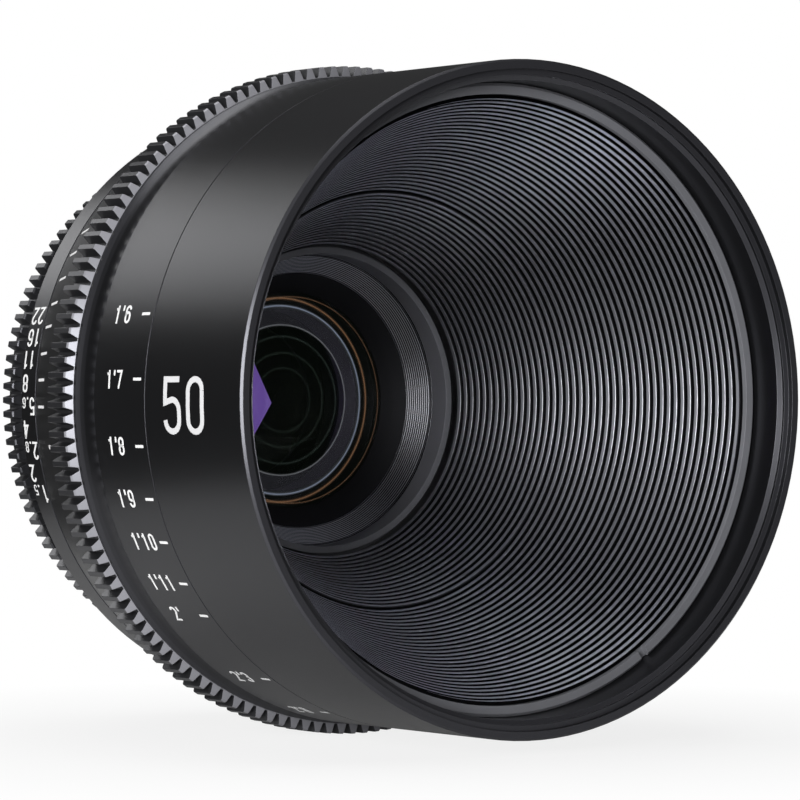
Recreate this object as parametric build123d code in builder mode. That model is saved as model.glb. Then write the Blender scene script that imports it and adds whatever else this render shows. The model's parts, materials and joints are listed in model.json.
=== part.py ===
from build123d import *
import os
from math import cos, degrees, radians, sin, sqrt

# Cinema prime lens, 50 mm, in millimetres and degrees.
# The origin is the centre of the camera mount's seat face. The optical axis is Y, the
# front looks along -Y and +Z is up. Places along the axis are depths behind the front rim.
# Angles round the axis are clock angles: 0 is up and they grow towards -X, as the focus
# and iris scales do.

# Clearances shared by several pieces
fit_clearance = 0.05        # between pieces of one group that seat on each other
running_clearance = 0.1     # radial, between rings that turn or slide on each other
ring_gap = 0.3              # between visible rings that turn past each other
overrun = 1.0               # how far a cutter passes beyond what it cuts

# Front barrel
front_radius = 57.0
front_barrel_length = 30.45
rim_chamfer = 0.4
rim_face_width = 1.6
rim_step_depth = 1.0
rim_land_width = 1.0
rim_mouth_depth = 2.0
recess_wall = 3.4
recess_depth = 8.1
barrel_ledge = 1.1
barrel_web_thickness = 2.95

# Ribbed hood inside the front barrel
retaining_ring_thickness = 2.45
retaining_ring_width = 1.9
retaining_ring_chamfer = 0.5
spanner_slot_width = 1.6
spanner_slot_depth = 1.2
spanner_slot_angle = 33.8
hood_flange_thickness = 2.0
hood_groove_depth = 0.75
hood_rib_land_share = 0.46
hood_wall = 1.5
hood_first_rib_inset = 2.7
hood_first_rib_drop = 1.6
hood_front_ribs = 27
hood_front_reach = 13.12     # the last front rib behind the front barrel's end
hood_joint_drop = 13.9
hood_end_land = 0.3
hood_joint_gap = 0.1
hood_joint_height = 3.5
hood_collar_length = 4.6
hood_collar_thickness = 1.5
hood_rear_rib_inset = 0.93
hood_rear_lip = 0.35
hood_rear_ribs = 16
hood_throat_rise = 1.8

# Focus ring and its gear
focus_ring_wall = 2.95
focus_band_length = 16.95
focus_cove_length = 5.9
focus_cove_drop = 0.8
focus_cove_step = 0.9
focus_cove_crest_share = 0.65
focus_disc_thickness = 0.7
focus_disc_rise = 0.3
gear_module = 0.8
focus_gear_rise = 2.2
focus_gear_width = 5.9
gear_seat_rim = 1.75
tooth_chamfer = 0.25
tooth_tip_share = 0.36
tooth_root_share = 0.78
tooth_depth_share = 2.25    # full depth of a tooth, in modules
focus_tooth_phase = 90.77

# Cam ring, fixed sleeve, carriage and rollers that turn rotation into travel
cam_ring_wall = 2.6
sleeve_wall = 2.5
sleeve_flange_thickness = 2.45
sleeve_flange_inset = 0.35
sleeve_lip_thickness = 2.2
sleeve_lip_width = 6.8
carriage_wall = 2.5
roller_radius = 2.0
roller_pin_radius = 1.2
roller_end_gap = 0.3
roller_inset = 19.55
roller_count = 2
skirt_lead = 5.2
carriage_web_thickness = 3.2
carriage_hub_wall = 2.7
carriage_lip_gap = 0.6      # between the carriage's web and the sleeve's lip at infinity
focus_turn_near = 104.6     # degrees from the rest mark to the near stop
focus_turn_far = 80.4       # degrees from the rest mark to the infinity stop
focus_travel = 7.15         # whole travel of the optics between the two stops

# Tapered ring with the fixed index, and the iris ring with its gear
shoulder_length = 15.1
shoulder_front_rise = 0.2
shoulder_rear_drop = 4.15
iris_band_length = 14.3
iris_band_drop = 5.45
iris_scale_length = 5.6       # the nearly straight front of the band, which carries the stops
iris_scale_drop = 0.35
iris_wall = 1.6
iris_cavity_length = 5.95
iris_neck_length = 5.15
iris_gear_drop = 0.6
iris_gear_width = 3.8
iris_gear_rim = 1.05
iris_hub_wall = 1.8
iris_tooth_phase = 90.0
iris_turn_open = 11.1       # degrees from the rest stop to the widest stop
iris_turn_close = 26.0      # degrees from the rest stop to the smallest stop

# Rear housing, rear barrel and camera mount
housing_wall = 2.5
housing_flange_thickness = 3.7
housing_flange_gap = 0.84
rear_rim_gap = 0.4
rear_rim_length = 1.5
rear_rim_wall = 2.2
rear_cone_length = 3.2
rear_cone_drop = 5.75
shim_thickness = 0.2
mount_spigot_radius = 27.0
mount_spigot_wall = 2.5
mount_spigot_length = 9.0
mount_spigot_chamfer = 0.8
mount_seat_width = 3.5
mount_neck_length = 4.2
mount_lug_rise = 3.5
mount_lug_thickness = 3.0
mount_lug_angle = 50.0
mount_lug_count = 4
mount_key_width = 3.0
mount_key_depth = 1.9

# Screws
screw_count = 6
barrel_screw_radius = 1.0
barrel_screw_head_radius = 1.7
barrel_screw_head_height = 1.2
barrel_screw_length = 5.0
housing_screw_length = 5.4
mount_screw_radius = 0.9
mount_screw_head_radius = 1.5
mount_screw_head_height = 1.3
mount_screw_length = 9.4

# Optics: the cells in front of the glass, and the glass itself
front_cell_gap = 1.0
front_cell_wall = 1.2
front_cell_rise = 5.8
front_cell_nose = 3.4
front_cell_flange_rise = 1.5
front_cell_bore_length = 4.4
cone_ring_length = 3.9
cone_ring_rear_rise = 2.5
cone_ring_groove_count = 13
cone_ring_groove_depth = 0.16
front_retainer_length = 2.5
front_retainer_mouth_length = 1.7
front_retainer_mouth_rise = 0.7
front_retainer_land_width = 0.9
focal_length = 50.0
front_glass_rise = 3.8      # how far the front glass bulges ahead of its barrel
rear_glass_gap = 0.32       # between the iris's plate and the glass behind it
barrel_tube_wall = 2.4
lens_ledge_width = 1.5
spacer_width = 1.0
rear_retainer_length = 1.9
# Each row is one element, in shares of the focal length: front curve, centre thickness,
# rear curve, rim radius, reach of the front curve, reach of the rear curve, air behind.
front_group_shares = [
    (0.88, 0.140, 3.20, 0.41, 0.41, 0.41, 0.020),
    (0.52, 0.112, 1.20, 0.35, 0.35, 0.35, 0.003),
    (1.20, 0.029, 0.40, 0.35, 0.35, 0.27, 0.000),
]
rear_group_shares = [
    (-0.38, 0.030, 1.20, 0.29, 0.25, 0.29, 0.001),
    (1.20, 0.159, -0.48, 0.29, 0.29, 0.29, 0.014),
    (-1.80, 0.086, -0.76, 0.32, 0.32, 0.32, 0.008),
    (1.60, 0.088, -1.40, 0.32, 0.32, 0.32, 0.000),
]
element_names = ["front_element", "second_element", "third_element", "fourth_element",
                 "fifth_element", "sixth_element", "seventh_element"]

# Iris: six blades at their own levels, turned by a slotted ring
blade_count = 6
blade_pivot_inset = 1.8
blade_turn_ratio = 1.09     # blade turn for each degree of the iris ring
cam_slot_points = 9         # places worked out along each slot of the actuator
cam_slot_margin = 0.6       # degrees that a slot runs on beyond each end of the travel
window_margin = 2.0         # degrees that a window runs on beyond what moves in it
iris_rest_opening = 7.0     # from the axis to each blade's edge at rest
iris_rest_angle = 27.2      # clock angle from a pivot to its blade's edge at rest
iris_lip_clearance = 0.7
iris_front_lip_length = 1.0
iris_cavity_rise = 0.8
iris_housing_wall = 1.7
iris_plate_thickness = 0.85
actuator_thickness = 1.0
actuator_ring_inset = 3.6
actuator_lever_width = 2.6
actuator_lever_rise = 4.0
blade_thickness = 0.15
blade_level_pitch = 0.3
blade_edge_front = 3.0      # edge length before the pivot's foot
blade_edge_rear = 16.6      # edge length beyond the pivot's foot
blade_tip_depth = 5.0
blade_hub_radius = 1.1
blade_pivot_pin_radius = 0.6
blade_drive_pin_radius = 0.5
blade_drive_pin_inset = 1.9
blade_drive_pin_offset = 3.8
fork_prong_thickness = 2.0
fork_prong_height = 3.8
fork_lever_gap = 0.4
fork_arm_thickness = 2.7
fork_base_angle = 4.0
fork_base_margin = 0.3
fork_inset = 1.26           # the fork's rear face ahead of the iris ring's

os.makedirs("parts", exist_ok=True)

# Depths of the visible rings, from the rim back to the mount's seat
focus_start = front_barrel_length + ring_gap
focus_cove_start = focus_start + focus_band_length
focus_disc_start = focus_cove_start + focus_cove_length
focus_gear_start = focus_disc_start + focus_disc_thickness
focus_end = focus_gear_start + focus_gear_width
shoulder_start = focus_end + ring_gap
shoulder_end = shoulder_start + shoulder_length
iris_start = shoulder_end + ring_gap
iris_band_end = iris_start + iris_band_length
iris_gear_start = iris_band_end + iris_neck_length
iris_end = iris_gear_start + iris_gear_width
rear_start = iris_end + rear_rim_gap
rear_seat = rear_start + rear_rim_length
rear_end = rear_seat + rear_cone_length
mount_start = rear_end + shim_thickness
lug_start = mount_start + mount_neck_length
flange_depth = lug_start + mount_lug_thickness

# Radii of the rings inside one another at the focus ring
recess_radius = front_radius - recess_wall
focus_bore_radius = front_radius - focus_ring_wall
cam_outer_radius = focus_bore_radius - fit_clearance
cam_inner_radius = cam_outer_radius - cam_ring_wall
sleeve_outer_radius = cam_inner_radius - running_clearance
sleeve_inner_radius = sleeve_outer_radius - sleeve_wall
carriage_outer_radius = sleeve_inner_radius - running_clearance
carriage_inner_radius = carriage_outer_radius - carriage_wall

# Radii of the visible rings behind the focus ring
shoulder_rear_radius = front_radius - shoulder_rear_drop
iris_band_rear_radius = shoulder_rear_radius - iris_band_drop
iris_slope = iris_band_drop / iris_band_length
iris_hollow_radius = shoulder_rear_radius - iris_wall
housing_flange_radius = (iris_hollow_radius - iris_slope * housing_flange_thickness
                         - housing_flange_gap)

# Teeth of the two gears, from the rings that carry them
focus_gear_teeth = round(2 * ((front_radius + focus_gear_rise) / gear_module - 1))
iris_gear_teeth = round(2 * ((iris_band_rear_radius - iris_gear_drop) / gear_module - 1))

# The travel of the optics for each degree of the focus ring
focus_turn = focus_turn_near + focus_turn_far
travel_near = focus_travel * focus_turn_near / focus_turn
travel_far = focus_travel * focus_turn_far / focus_turn

# Depths of the iris, whose lever reaches the fork in the iris ring
prong_end = iris_end - fork_inset
lever_middle = prong_end - travel_far - actuator_thickness
actuator_front = lever_middle - actuator_thickness / 2
iris_front = actuator_front - running_clearance
barrel_ledge_depth = iris_front - iris_front_lip_length
blade_front = actuator_front + actuator_thickness + 2 * running_clearance
blade_stack = (blade_count - 1) * blade_level_pitch + blade_thickness
iris_plate_front = blade_front + blade_stack + 2 * running_clearance
iris_rear = iris_plate_front + iris_plate_thickness


def sagitta(curve, reach):
    """How far a surface's edge lies behind its vertex; a negative curve bulges rearwards."""
    depth = abs(curve) - sqrt(curve * curve - reach * reach)
    return depth if curve > 0 else -depth


def lens_group(rows, first_vertex):
    """The real sizes and the depths of a group's elements, behind its first vertex."""
    group = []
    vertex = first_vertex
    for shares in rows:
        front_curve, thickness, rear_curve, rim, front_reach, rear_reach, air = [
            share * focal_length for share in shares]
        group.append({
            "front": vertex, "rear": vertex + thickness, "rim": rim,
            "front_curve": front_curve, "rear_curve": rear_curve,
            "front_reach": front_reach, "rear_reach": rear_reach,
            "front_edge": vertex + sagitta(front_curve, front_reach),
            "rear_edge": vertex + thickness + sagitta(rear_curve, rear_reach)})
        vertex += thickness + air
    return group


# The front group ends at the ledge before the iris, and the rear group starts behind it
front_group_length = lens_group(front_group_shares, 0)[-1]["rear_edge"]
front_group = lens_group(front_group_shares,
                         barrel_ledge_depth - fit_clearance - front_group_length)
rear_group_bulge = lens_group(rear_group_shares, 0)[0]["front_edge"]
rear_group = lens_group(rear_group_shares, iris_rear + rear_glass_gap - rear_group_bulge)
elements = front_group + rear_group
first, second, third, fourth, fifth, sixth, seventh = elements


def surface_at(element, side, reach):
    """Depth of an element's front or rear surface at a distance from the axis."""
    return element[side] + sagitta(element[side + "_curve"], reach)


# Radii of the cells and the iris, from the glass that they hold
front_cell_bore = first["rim"] + front_cell_rise
cone_ring_rear_radius = first["rim"] + cone_ring_rear_rise
front_retainer_mouth_radius = first["rim"] + front_retainer_mouth_rise
front_retainer_land_radius = first["rim"] - front_retainer_land_width
iris_cavity_radius = first["rim"] + iris_cavity_rise
iris_front_lip_radius = third["rear_reach"] + iris_lip_clearance
iris_rear_lip_radius = fourth["front_reach"] + iris_lip_clearance
tube_outer_radius = iris_cavity_radius + iris_housing_wall
blade_pivot_radius = iris_cavity_radius - blade_pivot_inset
actuator_inner_radius = blade_pivot_radius - actuator_ring_inset
actuator_lever_reach = tube_outer_radius + actuator_lever_rise

# Depths of the front cells, each seated on the next, ahead of the front glass
barrel_front = first["front"] + front_glass_rise
retainer_start = barrel_front - fit_clearance - front_retainer_length
cone_ring_start = retainer_start - fit_clearance - cone_ring_length
cell_start = cone_ring_start - front_cell_bore_length
rear_barrel_end = seventh["rear"] + fit_clearance + lens_ledge_width / 3

# The hood's cone
hood_flange_start = recess_depth + retaining_ring_thickness
hood_first_rib = recess_depth + hood_first_rib_drop
hood_first_radius = recess_radius - hood_first_rib_inset
hood_joint_radius = hood_first_radius - hood_joint_drop
hood_last_rib = front_barrel_length + hood_front_reach
hood_rib_pitch = (hood_last_rib - hood_first_rib) / (hood_front_ribs - 1)
hood_front_end = hood_last_rib + hood_end_land
hood_rear_start = hood_front_end + hood_joint_gap
hood_rear_first_rib = hood_rear_start + hood_rear_lip
hood_throat_radius = front_cell_bore + hood_throat_rise
hood_end = cell_start - front_cell_gap
hood_rear_rib_pitch = (hood_end - hood_rear_first_rib) / (hood_rear_ribs - 1 / 2)

# Radii of the camera mount
mount_bore_radius = mount_spigot_radius - mount_spigot_wall
mount_neck_radius = mount_spigot_radius + mount_seat_width
mount_lug_radius = mount_neck_radius + mount_lug_rise


def place(radius, depth):
    """A point of a turned outline, from its radius and its depth behind the rim."""
    return (radius, depth - flange_depth)


def section(*corners):
    """A closed outline of straight edges, to be turned about the optical axis."""
    with BuildSketch(Plane.XY) as outline:
        with BuildLine():
            Polyline(*[place(radius, depth) for radius, depth in corners], close=True)
        make_face()
    return outline.sketch


def across(depth):
    """The plane square to the axis at a depth, with X right and Z up, that looks forward."""
    return Plane.XZ.offset(flange_depth - depth)


def clock(radius, angle):
    """A point at a clock angle, in a plane square to the axis."""
    return (-radius * sin(radians(angle)), radius * cos(radians(angle)))


def spoke(angle, depth):
    """The plane that looks outwards along a clock angle, with its origin on the axis."""
    outwards = (-sin(radians(angle)), 0, cos(radians(angle)))
    return Plane(origin=(0, depth - flange_depth, 0), x_dir=(0, 1, 0), z_dir=outwards)


def ribs(first_depth, first_radius, last_radius, count, pitch):
    """Lands with grooves between them, down a cone, from the front to the rear."""
    slope = (last_radius - first_radius) / ((count - 1) * pitch)
    half_land = pitch * hood_rib_land_share / 2
    corners = []
    for index in range(count):
        middle = index * pitch
        for along in (middle - half_land, middle + half_land):
            corners.append((first_radius + slope * along, first_depth + along))
        if index < count - 1:
            along = middle + pitch / 2
            root = first_radius + slope * along + hood_groove_depth
            corners.append((root, first_depth + along))
    return corners


def tip_radius(teeth):
    """The outer radius of a gear: half its teeth and one addendum, in modules."""
    return (teeth / 2 + 1) * gear_module


def root_radius(teeth):
    """The radius between a gear's teeth: a full tooth is two and a quarter modules deep."""
    return tip_radius(teeth) - tooth_depth_share * gear_module


def tooth_ring(teeth, bore_radius, phase):
    """The face of a gear ring with straight-sided teeth, one of them at the phase angle."""
    pitch = 360 / teeth
    corners = []
    for index in range(teeth):
        middle = phase + index * pitch
        corners += [clock(root_radius(teeth), middle - pitch * tooth_root_share / 2),
                    clock(tip_radius(teeth), middle - pitch * tooth_tip_share / 2),
                    clock(tip_radius(teeth), middle + pitch * tooth_tip_share / 2),
                    clock(root_radius(teeth), middle + pitch * tooth_root_share / 2)]
    with BuildSketch() as outline:
        with BuildLine():
            Polyline(*corners, close=True)
        make_face()
        Circle(bore_radius, mode=Mode.SUBTRACT)
    return outline.sketch


def tooth_envelope(teeth, start, width):
    """The turned outline that bevels the ends of a gear's teeth."""
    tip = tip_radius(teeth)
    return section((0, start), (tip - tooth_chamfer, start), (tip, start + tooth_chamfer),
                   (tip, start + width - tooth_chamfer), (tip - tooth_chamfer, start + width),
                   (0, start + width))


def screw_circle(circle_radius, count):
    """Places of evenly spaced screws round the axis."""
    return PolarLocations(circle_radius, count, start_angle=180 / count)


def sector(inner_radius, outer_radius, low_angle, high_angle):
    """The face of a window between two clock angles, in a plane square to the axis."""
    middle = (low_angle + high_angle) / 2
    with BuildSketch() as outline:
        with BuildLine():
            Line(clock(inner_radius, low_angle), clock(outer_radius, low_angle))
            ThreePointArc(clock(outer_radius, low_angle), clock(outer_radius, middle),
                          clock(outer_radius, high_angle))
            Line(clock(outer_radius, high_angle), clock(inner_radius, high_angle))
            ThreePointArc(clock(inner_radius, high_angle), clock(inner_radius, middle),
                          clock(inner_radius, low_angle))
        make_face()
    return outline.sketch


# Front barrel: the plain shell with the stepped rim, open to the front
rim_inner_radius = front_radius - rim_face_width
rim_land_radius = rim_inner_radius - rim_land_width
barrel_bore_radius = recess_radius - barrel_ledge
web_bore_radius = sleeve_inner_radius + fit_clearance
hood_seat_depth = hood_flange_start + hood_flange_thickness
barrel_screw_circle = barrel_bore_radius - barrel_screw_head_radius - ring_gap
with BuildPart() as front_barrel:
    revolve(section(
        (front_radius - rim_chamfer, 0), (front_radius, rim_chamfer),
        (front_radius, front_barrel_length), (web_bore_radius, front_barrel_length),
        (web_bore_radius, front_barrel_length - barrel_web_thickness),
        (barrel_bore_radius, front_barrel_length - barrel_web_thickness),
        (barrel_bore_radius, hood_seat_depth), (recess_radius, hood_seat_depth),
        (recess_radius, rim_mouth_depth),
        (rim_land_radius, (rim_step_depth + rim_mouth_depth) / 2),
        (rim_land_radius, rim_step_depth), (rim_inner_radius, rim_step_depth),
        (rim_inner_radius, 0)), axis=Axis.Y)
    with BuildSketch(across(front_barrel_length)):
        with screw_circle(barrel_screw_circle, screw_count):
            Circle(barrel_screw_radius + fit_clearance)
    extrude(amount=barrel_web_thickness, mode=Mode.SUBTRACT)
front_barrel.part.label = "front_barrel"
export_step(front_barrel.part, "parts/front_barrel.step")

# Retaining ring: the flat ledge with two spanner slots that holds the hood in
ring_outer_radius = recess_radius - running_clearance
ring_inner_radius = ring_outer_radius - retaining_ring_width
with BuildPart() as hood_retaining_ring:
    revolve(section(
        (ring_outer_radius - retaining_ring_chamfer, recess_depth),
        (ring_outer_radius, recess_depth + retaining_ring_chamfer),
        (ring_outer_radius, hood_flange_start), (ring_inner_radius, hood_flange_start),
        (ring_inner_radius, recess_depth)), axis=Axis.Y)
    for slot_angle in (spanner_slot_angle, spanner_slot_angle + 180):
        with BuildSketch(spoke(slot_angle, recess_depth)):
            Rectangle(2 * spanner_slot_depth, spanner_slot_width)
        extrude(amount=front_radius, mode=Mode.SUBTRACT)
hood_retaining_ring.part.label = "hood_retaining_ring"
export_step(hood_retaining_ring.part, "parts/hood_retaining_ring.step")

# Front hood liner: the long ribbed cone that keeps stray light off the glass
hood_shell = hood_wall + hood_groove_depth
hood_slope = (hood_joint_radius - hood_first_radius) / (hood_last_rib - hood_first_rib)
joint_outer_radius = hood_joint_radius + hood_joint_height
joint_start = hood_front_end - hood_collar_length
cone_outer_start = hood_first_radius + hood_slope * (hood_seat_depth - hood_first_rib) + hood_shell
hood_lip_radius = ring_inner_radius - running_clearance
hood_lip_depth = hood_first_rib - hood_rib_pitch / 2
with BuildPart() as hood_front_liner:
    revolve(section(
        *ribs(hood_first_rib, hood_first_radius, hood_joint_radius, hood_front_ribs,
              hood_rib_pitch),
        (hood_joint_radius + hood_slope * hood_end_land, hood_front_end),
        (joint_outer_radius, hood_front_end),
        (joint_outer_radius, joint_start),
        (cone_outer_start, hood_seat_depth),
        (ring_outer_radius, hood_seat_depth), (ring_outer_radius, hood_flange_start),
        (hood_lip_radius, hood_flange_start), (hood_lip_radius, hood_lip_depth),
        (hood_first_radius, hood_lip_depth)), axis=Axis.Y)
hood_front_liner.part.label = "hood_front_liner"
export_step(hood_front_liner.part, "parts/hood_front_liner.step")

# Rear hood liner: the short ribbed cone screwed on behind the front one
rear_first_radius = hood_joint_radius - hood_rear_rib_inset
collar_inner_radius = joint_outer_radius + running_clearance
collar_outer_radius = collar_inner_radius + hood_collar_thickness
collar_front = joint_start + ring_gap
collar_rear = hood_rear_start + hood_wall
throat_outer_radius = hood_throat_radius + hood_shell
with BuildPart() as hood_rear_liner:
    revolve(section(
        (hood_joint_radius, hood_rear_start),
        *ribs(hood_rear_first_rib, rear_first_radius, hood_throat_radius, hood_rear_ribs,
              hood_rear_rib_pitch),
        (hood_throat_radius, hood_end), (throat_outer_radius, hood_end),
        (rear_first_radius + hood_shell, hood_rear_first_rib + hood_wall),
        (collar_outer_radius, collar_rear), (collar_outer_radius, collar_front),
        (collar_inner_radius, collar_front), (collar_inner_radius, hood_front_end),
        (hood_joint_radius + hood_joint_height / 3, hood_front_end),
        (hood_joint_radius + hood_joint_height / 3, hood_rear_start)), axis=Axis.Y)
hood_rear_liner.part.label = "hood_rear_liner"
export_step(hood_rear_liner.part, "parts/hood_rear_liner.step")

# Main sleeve: the fixed tube behind the focus ring, with a straight slot for each roller
flange_radius = focus_bore_radius - sleeve_flange_inset
sleeve_start = front_barrel_length
sleeve_end = iris_start
lip_inner_radius = sleeve_outer_radius - sleeve_lip_width
roller_depth = front_barrel_length + roller_inset
housing_screw_circle = (lip_inner_radius + housing_flange_radius) / 2
with BuildPart() as main_sleeve:
    revolve(section(
        (sleeve_inner_radius, sleeve_start), (flange_radius, sleeve_start),
        (flange_radius, sleeve_start + sleeve_flange_thickness),
        (sleeve_outer_radius, sleeve_start + sleeve_flange_thickness),
        (sleeve_outer_radius, sleeve_end), (lip_inner_radius, sleeve_end),
        (lip_inner_radius, sleeve_end - sleeve_lip_thickness),
        (sleeve_inner_radius, sleeve_end - sleeve_lip_thickness)), axis=Axis.Y)
    slot_reach = roller_radius + roller_end_gap
    for roller_index in range(roller_count):
        with BuildSketch(spoke(roller_index * 360 / roller_count, roller_depth)):
            with Locations(((travel_far - travel_near) / 2, 0)):
                Rectangle(travel_near + travel_far + 2 * slot_reach,
                          2 * (roller_radius + fit_clearance))
        extrude(amount=front_radius, mode=Mode.SUBTRACT)
    with BuildSketch(across(sleeve_start)):
        with screw_circle(barrel_screw_circle, screw_count):
            Circle(barrel_screw_radius + fit_clearance)
    extrude(amount=-sleeve_flange_thickness, mode=Mode.SUBTRACT)
    with BuildSketch(across(sleeve_end)):
        with screw_circle(housing_screw_circle, screw_count):
            Circle(barrel_screw_radius + fit_clearance)
    extrude(amount=sleeve_lip_thickness, mode=Mode.SUBTRACT)
main_sleeve.part.label = "main_sleeve"
export_step(main_sleeve.part, "parts/main_sleeve.step")


def socket_screws(seat_depth, towards_front, circle, length):
    """A ring of cap screws whose heads sit on a face, with a round drive socket in each."""
    side = 1 if towards_front else -1
    with BuildPart() as screws:
        with BuildSketch(across(seat_depth)):
            with screw_circle(circle, screw_count):
                Circle(barrel_screw_head_radius)
        extrude(amount=side * barrel_screw_head_height)
        with BuildSketch(across(seat_depth)):
            with screw_circle(circle, screw_count):
                Circle(barrel_screw_radius)
        extrude(amount=-side * length)
        with BuildSketch(across(seat_depth).offset(side * barrel_screw_head_height)):
            with screw_circle(circle, screw_count):
                RegularPolygon(barrel_screw_radius, 6)
        extrude(amount=-side * barrel_screw_head_height / 2, mode=Mode.SUBTRACT)
    return screws.part


# Barrel screws: hold the front barrel's web to the sleeve's flange, hidden by the hood
with BuildPart() as barrel_screws:
    add(socket_screws(front_barrel_length - barrel_web_thickness, True, barrel_screw_circle,
                      barrel_screw_length))
barrel_screws.part.label = "barrel_screws"
export_step(barrel_screws.part, "parts/barrel_screws.step")

# Focus ring: the plain scale band, a shallow cove and the thin disc before the gear
cove_radius = front_radius - focus_cove_drop
disc_radius = front_radius + focus_disc_rise
gear_seat_radius = root_radius(focus_gear_teeth) - gear_seat_rim
with BuildPart() as focus_ring:
    with BuildSketch(Plane.XY):
        with BuildLine():
            Polyline(place(focus_bore_radius, focus_start), place(front_radius, focus_start),
                     place(front_radius, focus_cove_start),
                     place(cove_radius, focus_cove_start + focus_cove_step))
            ThreePointArc(place(cove_radius, focus_cove_start + focus_cove_step),
                          place(cove_radius + focus_cove_drop / 8,
                                focus_cove_start + focus_cove_length * focus_cove_crest_share),
                          place(disc_radius, focus_disc_start))
            Polyline(place(disc_radius, focus_disc_start), place(disc_radius, focus_gear_start),
                     place(gear_seat_radius, focus_gear_start),
                     place(gear_seat_radius, focus_end), place(focus_bore_radius, focus_end),
                     place(focus_bore_radius, focus_start))
        make_face()
    revolve(axis=Axis.Y)
focus_ring.part.label = "focus_ring"
export_step(focus_ring.part, "parts/focus_ring.step")

# Focus gear: the toothed ring that a follow-focus drives
with BuildPart() as focus_gear:
    with BuildSketch(across(focus_end)):
        add(tooth_ring(focus_gear_teeth, gear_seat_radius + fit_clearance, focus_tooth_phase))
    extrude(amount=focus_gear_width)
    revolve(tooth_envelope(focus_gear_teeth, focus_gear_start, focus_gear_width), axis=Axis.Y,
            mode=Mode.INTERSECT)
focus_gear.part.label = "focus_gear"
export_step(focus_gear.part, "parts/focus_gear.step")

# Cam ring: turns with the focus ring, and its helical slots push the rollers along
cam_start = sleeve_start + sleeve_flange_thickness + ring_gap
cam_middle_radius = (cam_inner_radius + cam_outer_radius) / 2
cam_slot_width = 2 * (roller_radius + fit_clearance)
with BuildPart() as cam_slot_cutter:
    with BuildLine() as cam_path:
        Helix(pitch=360 / focus_turn * focus_travel, height=focus_travel,
              radius=cam_middle_radius, lefthand=True)
    with BuildSketch(Plane(origin=cam_path.line @ 0, x_dir=(1, 0, 0), z_dir=cam_path.line % 0)):
        Rectangle(2 * cam_ring_wall, cam_slot_width)
    sweep(is_frenet=True)
with BuildPart() as cam_ring:
    revolve(section((cam_inner_radius, cam_start), (cam_outer_radius, cam_start),
                    (cam_outer_radius, focus_end), (cam_inner_radius, focus_end)), axis=Axis.Y)
    for roller_index in range(roller_count):
        roller_angle = roller_index * 360 / roller_count
        slot_start = roller_angle - focus_turn_near
        slot_plane = Plane(origin=(0, roller_depth - travel_near - flange_depth, 0),
                           x_dir=spoke(slot_start, 0).z_dir, z_dir=(0, 1, 0))
        add(cam_slot_cutter.part.moved(slot_plane.location), mode=Mode.SUBTRACT)
        for end_angle, end_depth in ((slot_start, roller_depth - travel_near),
                                     (roller_angle + focus_turn_far, roller_depth + travel_far)):
            with BuildSketch(spoke(end_angle, end_depth)):
                Circle(roller_radius + fit_clearance)
            extrude(amount=front_radius, mode=Mode.SUBTRACT)
cam_ring.part.label = "cam_ring"
export_step(cam_ring.part, "parts/cam_ring.step")

# Cam rollers: ride in the straight and the helical slots, on pins in the carriage
with BuildPart() as cam_rollers:
    for roller_index in range(roller_count):
        roller_plane = spoke(roller_index * 360 / roller_count, roller_depth)
        with BuildSketch(roller_plane.offset(carriage_outer_radius + fit_clearance)):
            Circle(roller_radius)
        extrude(amount=cam_outer_radius - roller_end_gap - carriage_outer_radius)
        with BuildSketch(roller_plane.offset(carriage_inner_radius)):
            Circle(roller_pin_radius)
        extrude(amount=carriage_wall + 2 * fit_clearance)
cam_rollers.part.label = "cam_rollers"
export_step(cam_rollers.part, "parts/cam_rollers.step")

# Optics carriage: the skirt that slides in the sleeve, its web and the hub for the barrels
skirt_start = roller_depth - skirt_lead
web_end = sleeve_end - sleeve_lip_thickness - travel_far - carriage_lip_gap
web_start = web_end - carriage_web_thickness
hub_start = cell_start + front_cell_nose
cell_flange_radius = front_cell_bore + front_cell_wall + front_cell_flange_rise
hub_bore_radius = cell_flange_radius + fit_clearance
hub_outer_radius = hub_bore_radius + carriage_hub_wall
barrel_flange_end = barrel_front + carriage_web_thickness
hub_end = barrel_flange_end + carriage_wall
hub_ledge_radius = tube_outer_radius + fit_clearance
with BuildPart() as optics_carriage:
    revolve(section(
        (carriage_inner_radius, skirt_start), (carriage_outer_radius, skirt_start),
        (carriage_outer_radius, web_end),
        (hub_outer_radius, hub_start + carriage_web_thickness), (hub_outer_radius, hub_end),
        (hub_ledge_radius, hub_end), (hub_ledge_radius, barrel_flange_end),
        (hub_bore_radius, barrel_flange_end), (hub_bore_radius, hub_start),
        (hub_outer_radius, hub_start), (carriage_inner_radius, web_start)), axis=Axis.Y)
    for roller_index in range(roller_count):
        with BuildSketch(spoke(roller_index * 360 / roller_count, roller_depth)):
            Circle(roller_pin_radius + fit_clearance)
        extrude(amount=front_radius, mode=Mode.SUBTRACT)
optics_carriage.part.label = "optics_carriage"
export_step(optics_carriage.part, "parts/optics_carriage.step")

# Front cell: the smooth tube that shows behind the hood's throat
cell_outer_radius = front_cell_bore + front_cell_wall
with BuildPart() as front_cell:
    revolve(section(
        (front_cell_bore, cell_start), (cell_outer_radius, cell_start),
        (cell_outer_radius, hub_start), (cell_flange_radius, hub_start),
        (cell_flange_radius, barrel_front), (front_cell_bore, barrel_front)), axis=Axis.Y)
front_cell.part.label = "front_cell"
export_step(front_cell.part, "parts/front_cell.step")

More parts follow.
